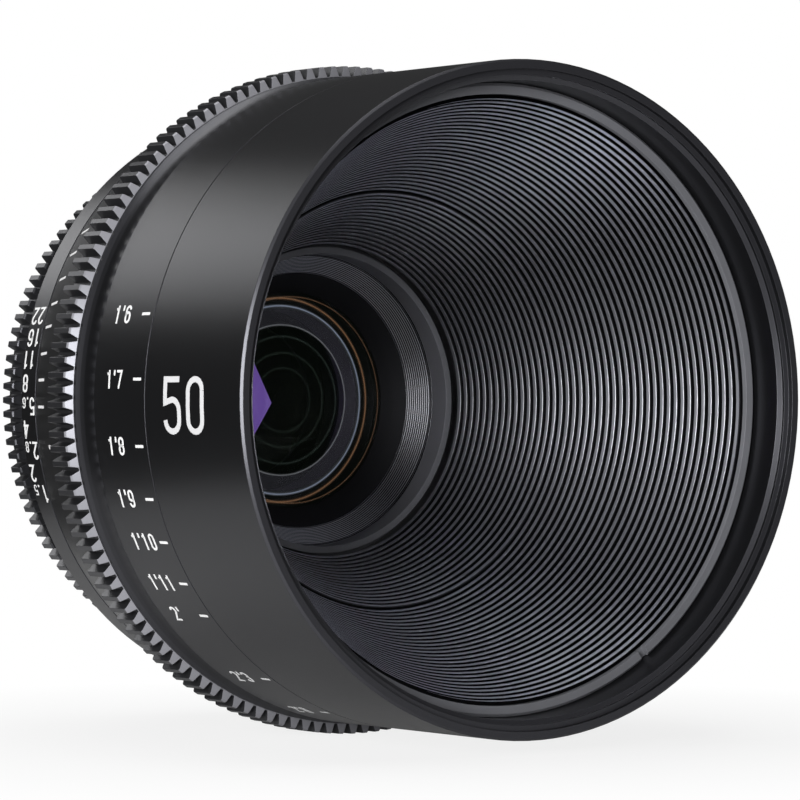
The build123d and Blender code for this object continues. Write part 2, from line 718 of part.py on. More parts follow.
# Baffle cone ring: its finely grooved bore narrows towards the front element
cone_groove_pitch = cone_ring_length / cone_ring_groove_count
cone_slope = (front_cell_bore - fit_clearance - cone_ring_rear_radius) / cone_ring_length
cone_corners = []
for groove in range(cone_ring_groove_count):
    groove_start = groove * cone_groove_pitch
    land_radius = front_cell_bore - fit_clearance - cone_slope * groove_start
    groove_radius = land_radius - cone_slope * cone_groove_pitch / 2 + cone_ring_groove_depth
    if groove > 0:
        cone_corners.append((land_radius, cone_ring_start + groove_start))
        cone_corners.append((groove_radius, cone_ring_start + groove_start + cone_groove_pitch / 2))
with BuildPart() as baffle_cone_ring:
    revolve(section(
        (front_cell_bore - fit_clearance, cone_ring_start), *cone_corners,
        (cone_ring_rear_radius, cone_ring_start + cone_ring_length),
        (front_cell_bore - fit_clearance, cone_ring_start + cone_ring_length)), axis=Axis.Y)
baffle_cone_ring.part.label = "baffle_cone_ring"
export_step(baffle_cone_ring.part, "parts/baffle_cone_ring.step")

# Front retainer: the black mouth that presses on the front element's rim
retainer_end = retainer_start + front_retainer_length
retainer_contact = surface_at(first, "front", front_retainer_land_radius) - fit_clearance
with BuildPart() as front_retainer:
    revolve(section(
        (cone_ring_rear_radius, retainer_start),
        (front_retainer_mouth_radius, retainer_start + front_retainer_mouth_length),
        (front_retainer_land_radius, retainer_contact),
        (first["rim"], surface_at(first, "front", first["rim"]) - fit_clearance),
        (first["rim"], retainer_end), (front_cell_bore - fit_clearance, retainer_end),
        (front_cell_bore - fit_clearance, retainer_start)), axis=Axis.Y)
front_retainer.part.label = "front_retainer"
export_step(front_retainer.part, "parts/front_retainer.step")

# Front group barrel: stepped bores for the first three elements, and the iris's front lip
first_bore = first["rim"] + fit_clearance
second_bore = second["rim"] + fit_clearance
first_ledge = surface_at(first, "rear", first["rim"]) + fit_clearance
with BuildPart() as front_group_barrel:
    revolve(section(
        (first_bore, barrel_front), (cell_flange_radius, barrel_front),
        (cell_flange_radius, barrel_flange_end), (tube_outer_radius, barrel_flange_end),
        (tube_outer_radius, iris_front), (iris_front_lip_radius, iris_front),
        (iris_front_lip_radius, barrel_ledge_depth), (second_bore, barrel_ledge_depth),
        (second_bore, first_ledge), (first_bore, first_ledge)), axis=Axis.Y)
front_group_barrel.part.label = "front_group_barrel"
export_step(front_group_barrel.part, "parts/front_group_barrel.step")

# Front group spacer: the ring between the first and the second element
spacer_inner = second["rim"] - spacer_width
with BuildPart() as front_group_spacer:
    revolve(section(
        (spacer_inner, surface_at(first, "rear", second["rim"]) + 2 * fit_clearance),
        (second["rim"], surface_at(first, "rear", second["rim"]) + 2 * fit_clearance),
        (second["rim"], surface_at(second, "front", spacer_inner) - fit_clearance),
        (spacer_inner, surface_at(second, "front", spacer_inner) - fit_clearance)),
        axis=Axis.Y)
front_group_spacer.part.label = "front_group_spacer"
export_step(front_group_spacer.part, "parts/front_group_spacer.step")

# Glass elements: ground curves front and rear, with a flat beyond a curve that stops short
for name, element in zip(element_names, elements):
    half_front = element["front_reach"] / 2
    half_rear = element["rear_reach"] / 2
    with BuildPart() as glass:
        with BuildSketch(Plane.XY):
            with BuildLine():
                ThreePointArc(place(0, element["front"]),
                              place(half_front, surface_at(element, "front", half_front)),
                              place(element["front_reach"], element["front_edge"]))
                rim_corners = [place(element["front_reach"], element["front_edge"])]
                if element["front_reach"] < element["rim"]:
                    rim_corners.append(place(element["rim"], element["front_edge"]))
                rim_corners.append(place(element["rim"], element["rear_edge"]))
                if element["rear_reach"] < element["rim"]:
                    rim_corners.append(place(element["rear_reach"], element["rear_edge"]))
                Polyline(*rim_corners)
                ThreePointArc(place(element["rear_reach"], element["rear_edge"]),
                              place(half_rear, surface_at(element, "rear", half_rear)),
                              place(0, element["rear"]))
                Line(place(0, element["rear"]), place(0, element["front"]))
            make_face()
        revolve(axis=Axis.Y)
    glass.part.label = name
    export_step(glass.part, "parts/" + name + ".step")

# Iris housing: the cup round the blades, with a pivot hole for each and the lever's window
lever_half_angle = degrees(actuator_lever_width / 2 / iris_cavity_radius)
lever_window_low = -iris_turn_open - lever_half_angle - window_margin
lever_window_high = iris_turn_close + lever_half_angle + window_margin
first_pivot = 180 / blade_count
with BuildPart() as iris_housing:
    revolve(section(
        (iris_cavity_radius, iris_front), (tube_outer_radius, iris_front),
        (tube_outer_radius, iris_rear), (iris_rear_lip_radius, iris_rear),
        (iris_rear_lip_radius, iris_plate_front), (iris_cavity_radius, iris_plate_front)),
        axis=Axis.Y)
    with BuildSketch(across(iris_front)):
        add(sector(iris_rear_lip_radius, tube_outer_radius + overrun,
                   lever_window_low, lever_window_high))
    extrude(amount=-(actuator_thickness + 2 * running_clearance), mode=Mode.SUBTRACT)
    with BuildSketch(across(iris_plate_front)):
        for blade_index in range(blade_count):
            pivot_angle = first_pivot + blade_index * 360 / blade_count
            with Locations(clock(blade_pivot_radius, pivot_angle)):
                Circle(blade_pivot_pin_radius + fit_clearance)
    extrude(amount=-iris_plate_thickness, mode=Mode.SUBTRACT)
iris_housing.part.label = "iris_housing"
export_step(iris_housing.part, "parts/iris_housing.step")


def drive_pin_place(blade_turn):
    """Where a blade's drive pin lies after a turn, seen with its pivot at clock angle 0."""
    across_pin = -blade_drive_pin_offset
    along_pin = -blade_drive_pin_inset
    turn = radians(blade_turn)
    sideways = across_pin * cos(turn) + along_pin * sin(turn)
    upwards = along_pin * cos(turn) - across_pin * sin(turn)
    return sideways, blade_pivot_radius + upwards


def cam_slot_point(ring_turn, pivot_angle):
    """The drive pin's place in the actuator's own frame, for one turn of the iris ring."""
    sideways, upwards = drive_pin_place(blade_turn_ratio * ring_turn)
    turn = radians(pivot_angle - ring_turn)
    return (-sideways * cos(turn) - upwards * sin(turn),
            -sideways * sin(turn) + upwards * cos(turn))


# Iris actuator: the ring whose curved slots turn the blades, with a lever for the fork
actuator_outer_radius = iris_cavity_radius - 2 * running_clearance
cam_slot_turn = iris_turn_open + iris_turn_close + 2 * cam_slot_margin
cam_slot_turns = [-iris_turn_open - cam_slot_margin + cam_slot_turn * index / (cam_slot_points - 1)
                  for index in range(cam_slot_points)]
with BuildPart() as iris_actuator:
    with BuildSketch(across(actuator_front + actuator_thickness)):
        Circle(actuator_outer_radius)
        with Locations((0, actuator_lever_reach / 2)):
            Rectangle(actuator_lever_width, actuator_lever_reach)
        Circle(actuator_inner_radius, mode=Mode.SUBTRACT)
        for blade_index in range(blade_count):
            pivot_angle = first_pivot + blade_index * 360 / blade_count
            with BuildLine() as slot_path:
                Spline(*[cam_slot_point(turn, pivot_angle) for turn in cam_slot_turns])
            trace(slot_path.line, 2 * (blade_drive_pin_radius + running_clearance),
                  mode=Mode.SUBTRACT)
            with Locations(slot_path.line @ 0, slot_path.line @ 1):
                Circle(blade_drive_pin_radius + running_clearance, mode=Mode.SUBTRACT)
    extrude(amount=actuator_thickness)
iris_actuator.part.label = "iris_actuator"
export_step(iris_actuator.part, "parts/iris_actuator.step")

# Iris blades: each has a straight edge, a pivot pin to the rear and a drive pin to the front
edge_depth = blade_pivot_radius * cos(radians(iris_rest_angle)) - iris_rest_opening
edge_foot = blade_pivot_radius * sin(radians(iris_rest_angle))


def edge_place(edge_angle, along, depth_behind):
    """A point by its way along a blade's edge from the pivot's foot and its depth behind it."""
    out_x, out_z = clock(iris_rest_opening + depth_behind, edge_angle)
    side_x, side_z = clock(along - edge_foot, edge_angle + 90)
    return out_x + side_x, out_z + side_z


for blade_index in range(blade_count):
    pivot_angle = first_pivot + blade_index * 360 / blade_count
    level_front = blade_front + blade_index * blade_level_pitch
    level_rear = level_front + blade_thickness
    pivot = clock(blade_pivot_radius, pivot_angle)
    drive = cam_slot_point(0, pivot_angle)
    # The edge runs square to the direction from the axis to its middle.
    edge_angle = pivot_angle + iris_rest_angle
    corners = [(-blade_edge_front, 0), (blade_edge_rear, 0), (blade_edge_rear, blade_tip_depth / 2),
               (blade_edge_rear - blade_tip_depth / 2, blade_tip_depth),
               (blade_hub_radius, edge_depth + blade_hub_radius),
               (-blade_hub_radius, edge_depth + blade_hub_radius),
               (-blade_edge_front, edge_depth / 2)]
    with BuildPart() as blade:
        with BuildSketch(across(level_rear)):
            with BuildLine():
                Polyline(*[edge_place(edge_angle, along, depth) for along, depth in corners],
                         close=True)
            make_face()
            with Locations(drive):
                Circle(blade_hub_radius)
            make_hull()
        extrude(amount=blade_thickness)
        with BuildSketch(across(level_rear)):
            with Locations(pivot):
                Circle(blade_pivot_pin_radius)
        extrude(amount=-(iris_rear - level_rear))
        with BuildSketch(across(level_front)):
            with Locations(drive):
                Circle(blade_drive_pin_radius)
        extrude(amount=level_front - actuator_front)
    blade_name = "iris_blade_" + str(blade_index + 1)
    blade.part.label = blade_name
    export_step(blade.part, "parts/" + blade_name + ".step")

# Rear group barrel: carries the last four elements behind the iris
fourth_bore = fourth["rim"] + fit_clearance
sixth_bore = sixth["rim"] + fit_clearance
rear_tube_radius = sixth_bore + barrel_tube_wall + lens_ledge_width
doublet_ledge_radius = fifth["rim"] - spacer_width
doublet_ledge = surface_at(fifth, "rear", doublet_ledge_radius) + fit_clearance
sixth_ledge = sixth["front_edge"] - fit_clearance
flange_rear = iris_rear + barrel_tube_wall
with BuildPart() as rear_group_barrel:
    revolve(section(
        (fourth_bore, iris_rear), (tube_outer_radius, iris_rear),
        (tube_outer_radius, flange_rear), (rear_tube_radius, flange_rear),
        (rear_tube_radius, rear_barrel_end), (sixth_bore, rear_barrel_end),
        (sixth_bore, sixth_ledge), (doublet_ledge_radius, sixth_ledge),
        (doublet_ledge_radius, doublet_ledge), (fourth_bore, doublet_ledge)), axis=Axis.Y)
rear_group_barrel.part.label = "rear_group_barrel"
export_step(rear_group_barrel.part, "parts/rear_group_barrel.step")

# Rear group spacer: the ring between the sixth and the seventh element
rear_spacer_inner = sixth["rim"] - spacer_width
with BuildPart() as rear_group_spacer:
    spacer_front = surface_at(sixth, "rear", rear_spacer_inner) + fit_clearance
    spacer_rear = surface_at(seventh, "front", rear_spacer_inner) - fit_clearance
    revolve(section((rear_spacer_inner, spacer_front), (sixth["rim"], spacer_front),
                    (sixth["rim"], spacer_rear), (rear_spacer_inner, spacer_rear)),
            axis=Axis.Y)
rear_group_spacer.part.label = "rear_group_spacer"
export_step(rear_group_spacer.part, "parts/rear_group_spacer.step")

# Rear retainer: screws in behind the last element
with BuildPart() as rear_retainer:
    retainer_front = surface_at(seventh, "rear", rear_spacer_inner) + fit_clearance
    revolve(section((rear_spacer_inner, retainer_front), (sixth["rim"], retainer_front),
                    (sixth["rim"], retainer_front + rear_retainer_length),
                    (rear_spacer_inner + spacer_width / 2,
                     retainer_front + rear_retainer_length)), axis=Axis.Y)
rear_retainer.part.label = "rear_retainer"
export_step(rear_retainer.part, "parts/rear_retainer.step")

# Shoulder ring: fixed, tapers down behind the focus gear and carries the iris index
shoulder_front_radius = front_radius + shoulder_front_rise
with BuildPart() as shoulder_ring:
    revolve(section(
        (sleeve_outer_radius + fit_clearance, shoulder_start),
        (shoulder_front_radius, shoulder_start), (shoulder_rear_radius, shoulder_end),
        (sleeve_outer_radius + fit_clearance, shoulder_end)), axis=Axis.Y)
shoulder_ring.part.label = "shoulder_ring"
export_step(shoulder_ring.part, "parts/shoulder_ring.step")

# Iris ring: the tapered band with the stop scale, hollow in front, on the rear housing
iris_gear_root = root_radius(iris_gear_teeth)
iris_hub_radius = iris_gear_root - iris_gear_rim
iris_bore_radius = iris_hub_radius - iris_hub_wall
cavity_end = iris_start + iris_cavity_length
iris_neck_radius = iris_gear_root - fit_clearance
with BuildPart() as iris_ring:
    revolve(section(
        (iris_hollow_radius, iris_start), (shoulder_rear_radius, iris_start),
        (shoulder_rear_radius - iris_scale_drop, iris_start + iris_scale_length),
        (iris_band_rear_radius, iris_band_end), (iris_neck_radius, iris_band_end),
        (iris_neck_radius, iris_gear_start), (iris_hub_radius, iris_gear_start),
        (iris_hub_radius, iris_end), (iris_bore_radius, iris_end),
        (iris_bore_radius, cavity_end),
        (iris_hollow_radius - iris_slope * iris_cavity_length, cavity_end)),
        axis=Axis.Y)
iris_ring.part.label = "iris_ring"
export_step(iris_ring.part, "parts/iris_ring.step")

# Iris gear: the narrower toothed ring at the rear
with BuildPart() as iris_gear:
    with BuildSketch(across(iris_end)):
        add(tooth_ring(iris_gear_teeth, iris_hub_radius + fit_clearance, iris_tooth_phase))
    extrude(amount=iris_gear_width)
    revolve(tooth_envelope(iris_gear_teeth, iris_gear_start, iris_gear_width), axis=Axis.Y,
            mode=Mode.INTERSECT)
iris_gear.part.label = "iris_gear"
export_step(iris_gear.part, "parts/iris_gear.step")

# Rear housing: the fixed tube that the iris ring turns on, with the fork's window
housing_outer_radius = iris_bore_radius - running_clearance
housing_inner_radius = housing_outer_radius - housing_wall
prong_start = lever_middle - travel_near - actuator_thickness
fork_base_length = fork_arm_thickness + 2 * fork_base_margin
base_end = prong_end + fork_base_margin
with BuildPart() as rear_housing:
    revolve(section(
        (housing_inner_radius, iris_start), (housing_flange_radius, iris_start),
        (housing_flange_radius, iris_start + housing_flange_thickness),
        (housing_outer_radius, iris_start + housing_flange_thickness),
        (housing_outer_radius, rear_seat), (housing_inner_radius, rear_seat)), axis=Axis.Y)
    with BuildSketch(across(base_end + ring_gap)):
        add(sector(housing_inner_radius - overrun, housing_outer_radius + overrun,
                   -iris_turn_open - fork_base_angle - window_margin,
                   iris_turn_close + fork_base_angle + window_margin))
    extrude(amount=fork_base_length + 2 * ring_gap, mode=Mode.SUBTRACT)
    with BuildSketch(across(iris_start + housing_flange_thickness)):
        with screw_circle(housing_screw_circle, screw_count):
            Circle(barrel_screw_radius + fit_clearance)
    extrude(amount=housing_flange_thickness, mode=Mode.SUBTRACT)
rear_housing.part.label = "rear_housing"
export_step(rear_housing.part, "parts/rear_housing.step")

# Housing screws: hold the rear housing to the sleeve's lip, inside the iris ring's hollow
with BuildPart() as housing_screws:
    add(socket_screws(iris_start + housing_flange_thickness, False, housing_screw_circle,
                      housing_screw_length))
housing_screws.part.label = "housing_screws"
export_step(housing_screws.part, "parts/housing_screws.step")

# Iris fork: reaches from the iris ring through the housing and straddles the lever
fork_inner_radius = tube_outer_radius + 2 * fork_lever_gap
prong_outer_radius = fork_inner_radius + fork_prong_height
prong_inner_face = actuator_lever_width / 2 + running_clearance
fork_seat_radius = iris_bore_radius - fit_clearance
with BuildPart() as iris_fork:
    with BuildSketch(across(base_end)):
        add(sector(housing_inner_radius, fork_seat_radius, -fork_base_angle, fork_base_angle))
    extrude(amount=fork_base_length)
    with BuildSketch(across(prong_end)):
        with Locations((0, (prong_outer_radius + housing_inner_radius) / 2)):
            Rectangle(2 * (prong_inner_face + fork_prong_thickness),
                      housing_inner_radius + fork_lever_gap - prong_outer_radius)
    extrude(amount=fork_arm_thickness)
    with BuildSketch(across(prong_end)):
        for side in (-1, 1):
            with Locations((side * (prong_inner_face + fork_prong_thickness / 2),
                            (fork_inner_radius + prong_outer_radius) / 2)):
                Rectangle(fork_prong_thickness, fork_prong_height + 2 * fork_lever_gap)
    extrude(amount=prong_end - prong_start)
iris_fork.part.label = "iris_fork"
export_step(iris_fork.part, "parts/iris_fork.step")

# Rear barrel: the fixed rear rim and cone that carries the camera mount
rim_outer_radius = housing_outer_radius + rear_rim_wall
rear_cone_radius = rim_outer_radius - rear_cone_drop
rear_rim_bore = iris_bore_radius + fit_clearance
mount_screw_circle = (mount_spigot_radius + mount_neck_radius) / 2
with BuildPart() as rear_barrel:
    revolve(section(
        (rear_rim_bore, rear_start), (rim_outer_radius, rear_start),
        (rim_outer_radius, rear_seat), (rear_cone_radius, rear_end),
        (mount_bore_radius, rear_end), (mount_bore_radius, rear_seat),
        (rear_rim_bore, rear_seat)), axis=Axis.Y)
    with BuildSketch(across(rear_end)):
        with screw_circle(mount_screw_circle, screw_count):
            Circle(mount_screw_radius + fit_clearance)
    extrude(amount=rear_cone_length, mode=Mode.SUBTRACT)
rear_barrel.part.label = "rear_barrel"
export_step(rear_barrel.part, "parts/rear_barrel.step")

# Mount shim: sets the mount's distance from the optics
with BuildPart() as mount_shim:
    with BuildSketch(across(mount_start)):
        Circle(mount_neck_radius)
        Circle(mount_bore_radius, mode=Mode.SUBTRACT)
        with screw_circle(mount_screw_circle, screw_count):
            Circle(mount_screw_radius + fit_clearance, mode=Mode.SUBTRACT)
    extrude(amount=shim_thickness)
mount_shim.part.label = "mount_shim"
export_step(mount_shim.part, "parts/mount_shim.step")

# Camera mount: neck, four bayonet lugs with one keyway, and the spigot into the camera
with BuildPart() as lens_mount:
    revolve(section(
        (mount_bore_radius, mount_start), (mount_neck_radius, mount_start),
        (mount_neck_radius, flange_depth), (mount_spigot_radius, flange_depth),
        (mount_spigot_radius, flange_depth + mount_spigot_length - mount_spigot_chamfer),
        (mount_spigot_radius - mount_spigot_chamfer, flange_depth + mount_spigot_length),
        (mount_bore_radius, flange_depth + mount_spigot_length)), axis=Axis.Y)
    with BuildSketch(across(flange_depth)):
        for lug_index in range(mount_lug_count):
            lug_middle = lug_index * 360 / mount_lug_count
            add(sector(mount_neck_radius - overrun, mount_lug_radius,
                       lug_middle - mount_lug_angle / 2, lug_middle + mount_lug_angle / 2))
    extrude(amount=mount_lug_thickness)
    with BuildSketch(across(flange_depth)):
        with Locations((0, mount_lug_radius)):
            Rectangle(mount_key_width, 2 * mount_key_depth)
    extrude(amount=mount_lug_thickness, mode=Mode.SUBTRACT)
    with BuildSketch(across(flange_depth)):
        with screw_circle(mount_screw_circle, screw_count):
            Circle(mount_screw_radius + fit_clearance)
    extrude(amount=flange_depth - mount_start, mode=Mode.SUBTRACT)
    with BuildSketch(across(flange_depth)):
        with screw_circle(mount_screw_circle, screw_count):
            Circle(mount_screw_head_radius + fit_clearance)
    extrude(amount=mount_screw_head_height + fit_clearance, mode=Mode.SUBTRACT)
lens_mount.part.label = "lens_mount"
export_step(lens_mount.part, "parts/lens_mount.step")

# Mount screws: sunk in the mount's seat face, through the shim into the rear barrel
with BuildPart() as mount_screws:
    head_seat = flange_depth - mount_screw_head_height
    with BuildSketch(across(flange_depth - fit_clearance)):
        with screw_circle(mount_screw_circle, screw_count):
            Circle(mount_screw_head_radius)
    extrude(amount=mount_screw_head_height - fit_clearance)
    with BuildSketch(across(head_seat)):
        with screw_circle(mount_screw_circle, screw_count):
            Circle(mount_screw_radius)
    extrude(amount=mount_screw_length - mount_screw_head_height)
    with BuildSketch(across(flange_depth - fit_clearance)):
        with screw_circle(mount_screw_circle, screw_count):
            Rectangle(2 * mount_screw_head_radius, mount_screw_head_height / 3)
    extrude(amount=mount_screw_head_height / 3, mode=Mode.SUBTRACT)
mount_screws.part.label = "mount_screws"
export_step(mount_screws.part, "parts/mount_screws.step")
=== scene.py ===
# %% [markdown]
# # A cinema prime lens, dressed for its picture
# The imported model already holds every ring, screw and glass of the lens at its real size.
# This lesson gives each of them its finish, cuts the scales into the rings, and sets up the
# camera and the studio. We load the model first, because every later step takes its places
# from it, and we note its size, so that we can prove at the end that nothing grew.

# %% Load the lens
import json
from math import cos, radians, sin

import bmesh
import bpy
from mathutils import Matrix, Vector
from mathutils.bvhtree import BVHTree


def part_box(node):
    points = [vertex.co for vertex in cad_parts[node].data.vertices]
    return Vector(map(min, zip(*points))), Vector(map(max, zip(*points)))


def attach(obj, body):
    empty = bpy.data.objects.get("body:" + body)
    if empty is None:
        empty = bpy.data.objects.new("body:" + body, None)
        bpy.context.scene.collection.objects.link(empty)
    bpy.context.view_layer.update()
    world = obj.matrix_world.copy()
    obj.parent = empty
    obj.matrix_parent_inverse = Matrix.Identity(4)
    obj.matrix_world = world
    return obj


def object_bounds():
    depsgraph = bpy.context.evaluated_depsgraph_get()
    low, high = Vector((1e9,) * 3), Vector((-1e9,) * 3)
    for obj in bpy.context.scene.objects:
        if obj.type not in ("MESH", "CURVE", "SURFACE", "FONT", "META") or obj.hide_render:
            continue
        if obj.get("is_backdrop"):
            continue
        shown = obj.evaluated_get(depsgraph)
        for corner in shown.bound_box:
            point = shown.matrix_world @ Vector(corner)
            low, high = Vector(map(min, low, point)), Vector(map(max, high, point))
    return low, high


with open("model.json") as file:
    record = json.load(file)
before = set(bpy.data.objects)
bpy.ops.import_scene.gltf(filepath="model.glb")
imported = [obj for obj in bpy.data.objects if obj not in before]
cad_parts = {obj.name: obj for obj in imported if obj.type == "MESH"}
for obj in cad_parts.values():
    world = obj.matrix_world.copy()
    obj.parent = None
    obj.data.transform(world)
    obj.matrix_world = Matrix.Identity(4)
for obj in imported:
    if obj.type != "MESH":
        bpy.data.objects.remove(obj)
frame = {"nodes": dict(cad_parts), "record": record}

cad_low, cad_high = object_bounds()
nodes = frame["nodes"]
print("nodes:", len(nodes))
print("size in mm:", [round(1000 * side, 1) for side in cad_high - cad_low])

# %% [markdown]
# ## Places on a lens
# A lens maker gives a place by three numbers: how far it lies behind the front rim, how far
# from the axis, and where it is round the clock. Twelve o'clock is up, and the angles run
# towards the side that the camera sees. One small function turns those three into a point,
# and every mark that we cut later uses it.

# %% From depth, radius and clock angle to a point
millimetre = 0.001
front_rim_y = cad_low.y


def lens_point(depth, radius, clock):
    """A point of the lens in metres, from millimetres and degrees."""
    turn = radians(clock)
    return Vector((-radius * millimetre * sin(turn),
                   front_rim_y + depth * millimetre,
                   radius * millimetre * cos(turn)))


print("front rim at", round(front_rim_y / millimetre, 2), "mm")

# %% [markdown]
# ## A bench for materials
# Every finish below is a small network of nodes. One helper makes a material with its
# Principled shader ready, a second adds a node and a third joins two sockets. We keep the
# numbers that are the same all over a surface on the shader's own sockets, because an
# exporter can only carry those along.

# %% Start a material
def start_material(name, **sockets):
    """A material and its Principled shader, with plain values set on the shader."""
    material = bpy.data.materials.new(name)
    material.use_nodes = True
    shader = material.node_tree.nodes["Principled BSDF"]
    for socket, value in sockets.items():
        shader.inputs[socket.replace("_", " ")].default_value = value
    return material, shader


def add_node(material, kind, **settings):
    """A node of one kind; settings are its properties, and numbers go to its inputs."""
    node = material.node_tree.nodes.new(kind)
    for name, value in settings.items():
        if name in node.bl_rna.properties:
            setattr(node, name, value)
        else:
            node.inputs[name.replace("_", " ")].default_value = value
    return node


def join(material, source, target):
    """Link an output socket to an input socket."""
    material.node_tree.links.new(source, target)


# %% [markdown]
# ## Grain and broken edges
# Bead-blasted aluminium has a fine even grain, too small to model, so it goes into the bump.
# The noise also moves the roughness and the colour a little, which is what tells the eye that
# a black is anodised metal and not paint. A Bevel node rounds every edge for the shading
# only, as a maker breaks each sharp edge, and that catches a thin line of light.

# %% Give a shader grain
edge_radius = 0.15 * millimetre
fine_detail = 4.0
cloud_size = 40
relief_strength = 0.35


def give_grain(material, shader, dark, light, size, depth, smooth, rough):
    """Noise of one size, in metres, that varies colour, roughness and relief."""
    place = add_node(material, "ShaderNodeTexCoord")
    grain = add_node(material, "ShaderNodeTexNoise", Scale=1 / size, Detail=fine_detail,
                     Roughness=0.6)
    join(material, place.outputs["Object"], grain.inputs["Vector"])
    clouds = add_node(material, "ShaderNodeTexNoise", Scale=1 / (cloud_size * size), Detail=2.0)
    join(material, place.outputs["Object"], clouds.inputs["Vector"])
    tint = add_node(material, "ShaderNodeMix", data_type="RGBA")
    tint.inputs["A"].default_value = (*dark, 1)
    tint.inputs["B"].default_value = (*light, 1)
    join(material, clouds.outputs["Fac"], tint.inputs["Factor"])
    join(material, tint.outputs["Result"], shader.inputs["Base Color"])
    gloss = add_node(material, "ShaderNodeMapRange")
    gloss.inputs["To Min"].default_value = smooth
    gloss.inputs["To Max"].default_value = rough
    join(material, grain.outputs["Fac"], gloss.inputs["Value"])
    join(material, gloss.outputs["Result"], shader.inputs["Roughness"])
    relief = add_node(material, "ShaderNodeBump", Strength=relief_strength, Distance=depth)
    broken_edge = add_node(material, "ShaderNodeBevel", samples=6)
    broken_edge.inputs["Radius"].default_value = edge_radius
    join(material, grain.outputs["Fac"], relief.inputs["Height"])
    join(material, broken_edge.outputs["Normal"], relief.inputs["Normal"])
    join(material, relief.outputs["Normal"], shader.inputs["Normal"])
    return place, relief


print("edges are broken by", round(edge_radius / millimetre, 2), "mm")

# %% [markdown]
# ## Rings left by the turning tool
# A lathe leaves a spiral so fine that it reads as rings round the axis. Their height depends
# on the radius on a flat face and on the depth along a tube, so we add the two and feed the
# sum to a noise of one dimension. Its bump lies under the grain and its broken edges.

# %% Give a shader turning rings
def give_turning(material, place, relief, pitch, strength):
    """Fine rings round the lens axis, under the grain that is already there."""
    split = add_node(material, "ShaderNodeSeparateXYZ")
    join(material, place.outputs["Object"], split.inputs["Vector"])
    radius = add_node(material, "ShaderNodeVectorMath", operation="LENGTH")
    across = add_node(material, "ShaderNodeCombineXYZ")
    join(material, split.outputs["X"], across.inputs["X"])
    join(material, split.outputs["Z"], across.inputs["Z"])
    join(material, across.outputs["Vector"], radius.inputs["Vector"])
    sum_of_both = add_node(material, "ShaderNodeMath", operation="ADD")
    join(material, radius.outputs["Value"], sum_of_both.inputs[0])
    join(material, split.outputs["Y"], sum_of_both.inputs[1])
    rings = add_node(material, "ShaderNodeTexNoise", noise_dimensions="1D",
                     Scale=1 / pitch, Detail=2.0)
    join(material, sum_of_both.outputs["Value"], rings.inputs["W"])
    under = add_node(material, "ShaderNodeBump", Strength=strength, Distance=pitch / 4)
    join(material, rings.outputs["Fac"], under.inputs["Height"])
    join(material, relief.inputs["Normal"].links[0].from_socket, under.inputs["Normal"])
    join(material, under.outputs["Normal"], relief.inputs["Normal"])


# %% [markdown]
# ## The black anodised finishes
# All of the outside is aluminium, blasted or turned and then dyed black. The outer bands are
# satin, the gears are a little lighter, and the cells round the glasses show the rings of
# the turning tool. The cell and spacer round the front glass get a dark grey, a painted sheen
# for the light their front faces catch, and the hood's retaining ring is a dark grey too. One
# recipe with other numbers makes them all, so they look like one family.

# %% The blacks and the dark greys
black_grain = 0.12 * millimetre
black_relief = 0.012 * millimetre
turning_strength = 0.25


def anodised_black(name, tone, smooth, rough, metallic=0.0, turning_pitch=None, mirror=0.6):
    """Black anodised aluminium: a blue-grey black of one tone, with grain and turning."""
    material, shader = start_material(name, Metallic=metallic, IOR=1.5, Specular_IOR_Level=mirror)
    shader.inputs["Specular Tint"].default_value = (0.90, 0.91, 1.0, 1)
    dark = (0.92 * tone, 0.93 * tone, tone)
    light = (1.12 * tone, 1.14 * tone, 1.25 * tone)
    place, relief = give_grain(material, shader, dark, light, black_grain, black_relief,
                               smooth, rough)
    if turning_pitch:
        give_turning(material, place, relief, turning_pitch, turning_strength)
    return material


grey_pitch = 0.2 * millimetre
cell_pitch = 0.12 * millimetre
barrel_black = anodised_black("barrel_black", 0.003, 0.27, 0.36)
gear_black = anodised_black("gear_black", 0.014, 0.26, 0.38)
gear_black_painted_glint = anodised_black("gear_black_painted_glint", 0.014, 0.26, 0.38)
mouth_black = anodised_black("mouth_black", 0.006, 0.5, 0.6, mirror=0.2)
# The front cell's grey is a painted sheen for the light its front face catches.
cell_grey_painted_sheen = anodised_black("cell_grey_painted_sheen", 0.11, 0.35, 0.5, turning_pitch=grey_pitch)
ring_grey = anodised_black("ring_grey", 0.13, 0.35, 0.5, turning_pitch=grey_pitch)
cell_black = anodised_black("cell_black", 0.008, 0.24, 0.34, turning_pitch=cell_pitch)
print("blacks:", [m.name for m in (barrel_black, gear_black, gear_black_painted_glint, mouth_black,
                                   cell_grey_painted_sheen, ring_grey, cell_black)])

# %% [markdown]
# ## Painted glint and chamfered front faces
# The front faces of the focus gear's teeth get a light grey, a painted glint that stands in for
# the lamp light they catch, and the barrel's faces that look forward get a faint painted sheen.
# Each tooth is chamfered there and mirrors a lamp at the side. We find those faces by the normal
# they have in the mesh: what looks forward has a negative y. The chamfer is too small to
# model on 146 teeth, so only the shading normal leans outwards.

# %% Treat the faces that look forward
sideways_y = -0.35
forward_y = -0.65


def share_forward(material, most=1.0):
    """0 on faces that look sideways or back, and the most on those that look forward."""
    facing = add_node(material, "ShaderNodeNewGeometry")
    split = add_node(material, "ShaderNodeSeparateXYZ")
    join(material, facing.outputs["True Normal"], split.inputs["Vector"])
    forward = add_node(material, "ShaderNodeMapRange")
    forward.inputs["From Min"].default_value = sideways_y
    forward.inputs["From Max"].default_value = forward_y
    forward.inputs["To Max"].default_value = most
    join(material, split.outputs["Y"], forward.inputs["Value"])
    return forward.outputs["Result"]


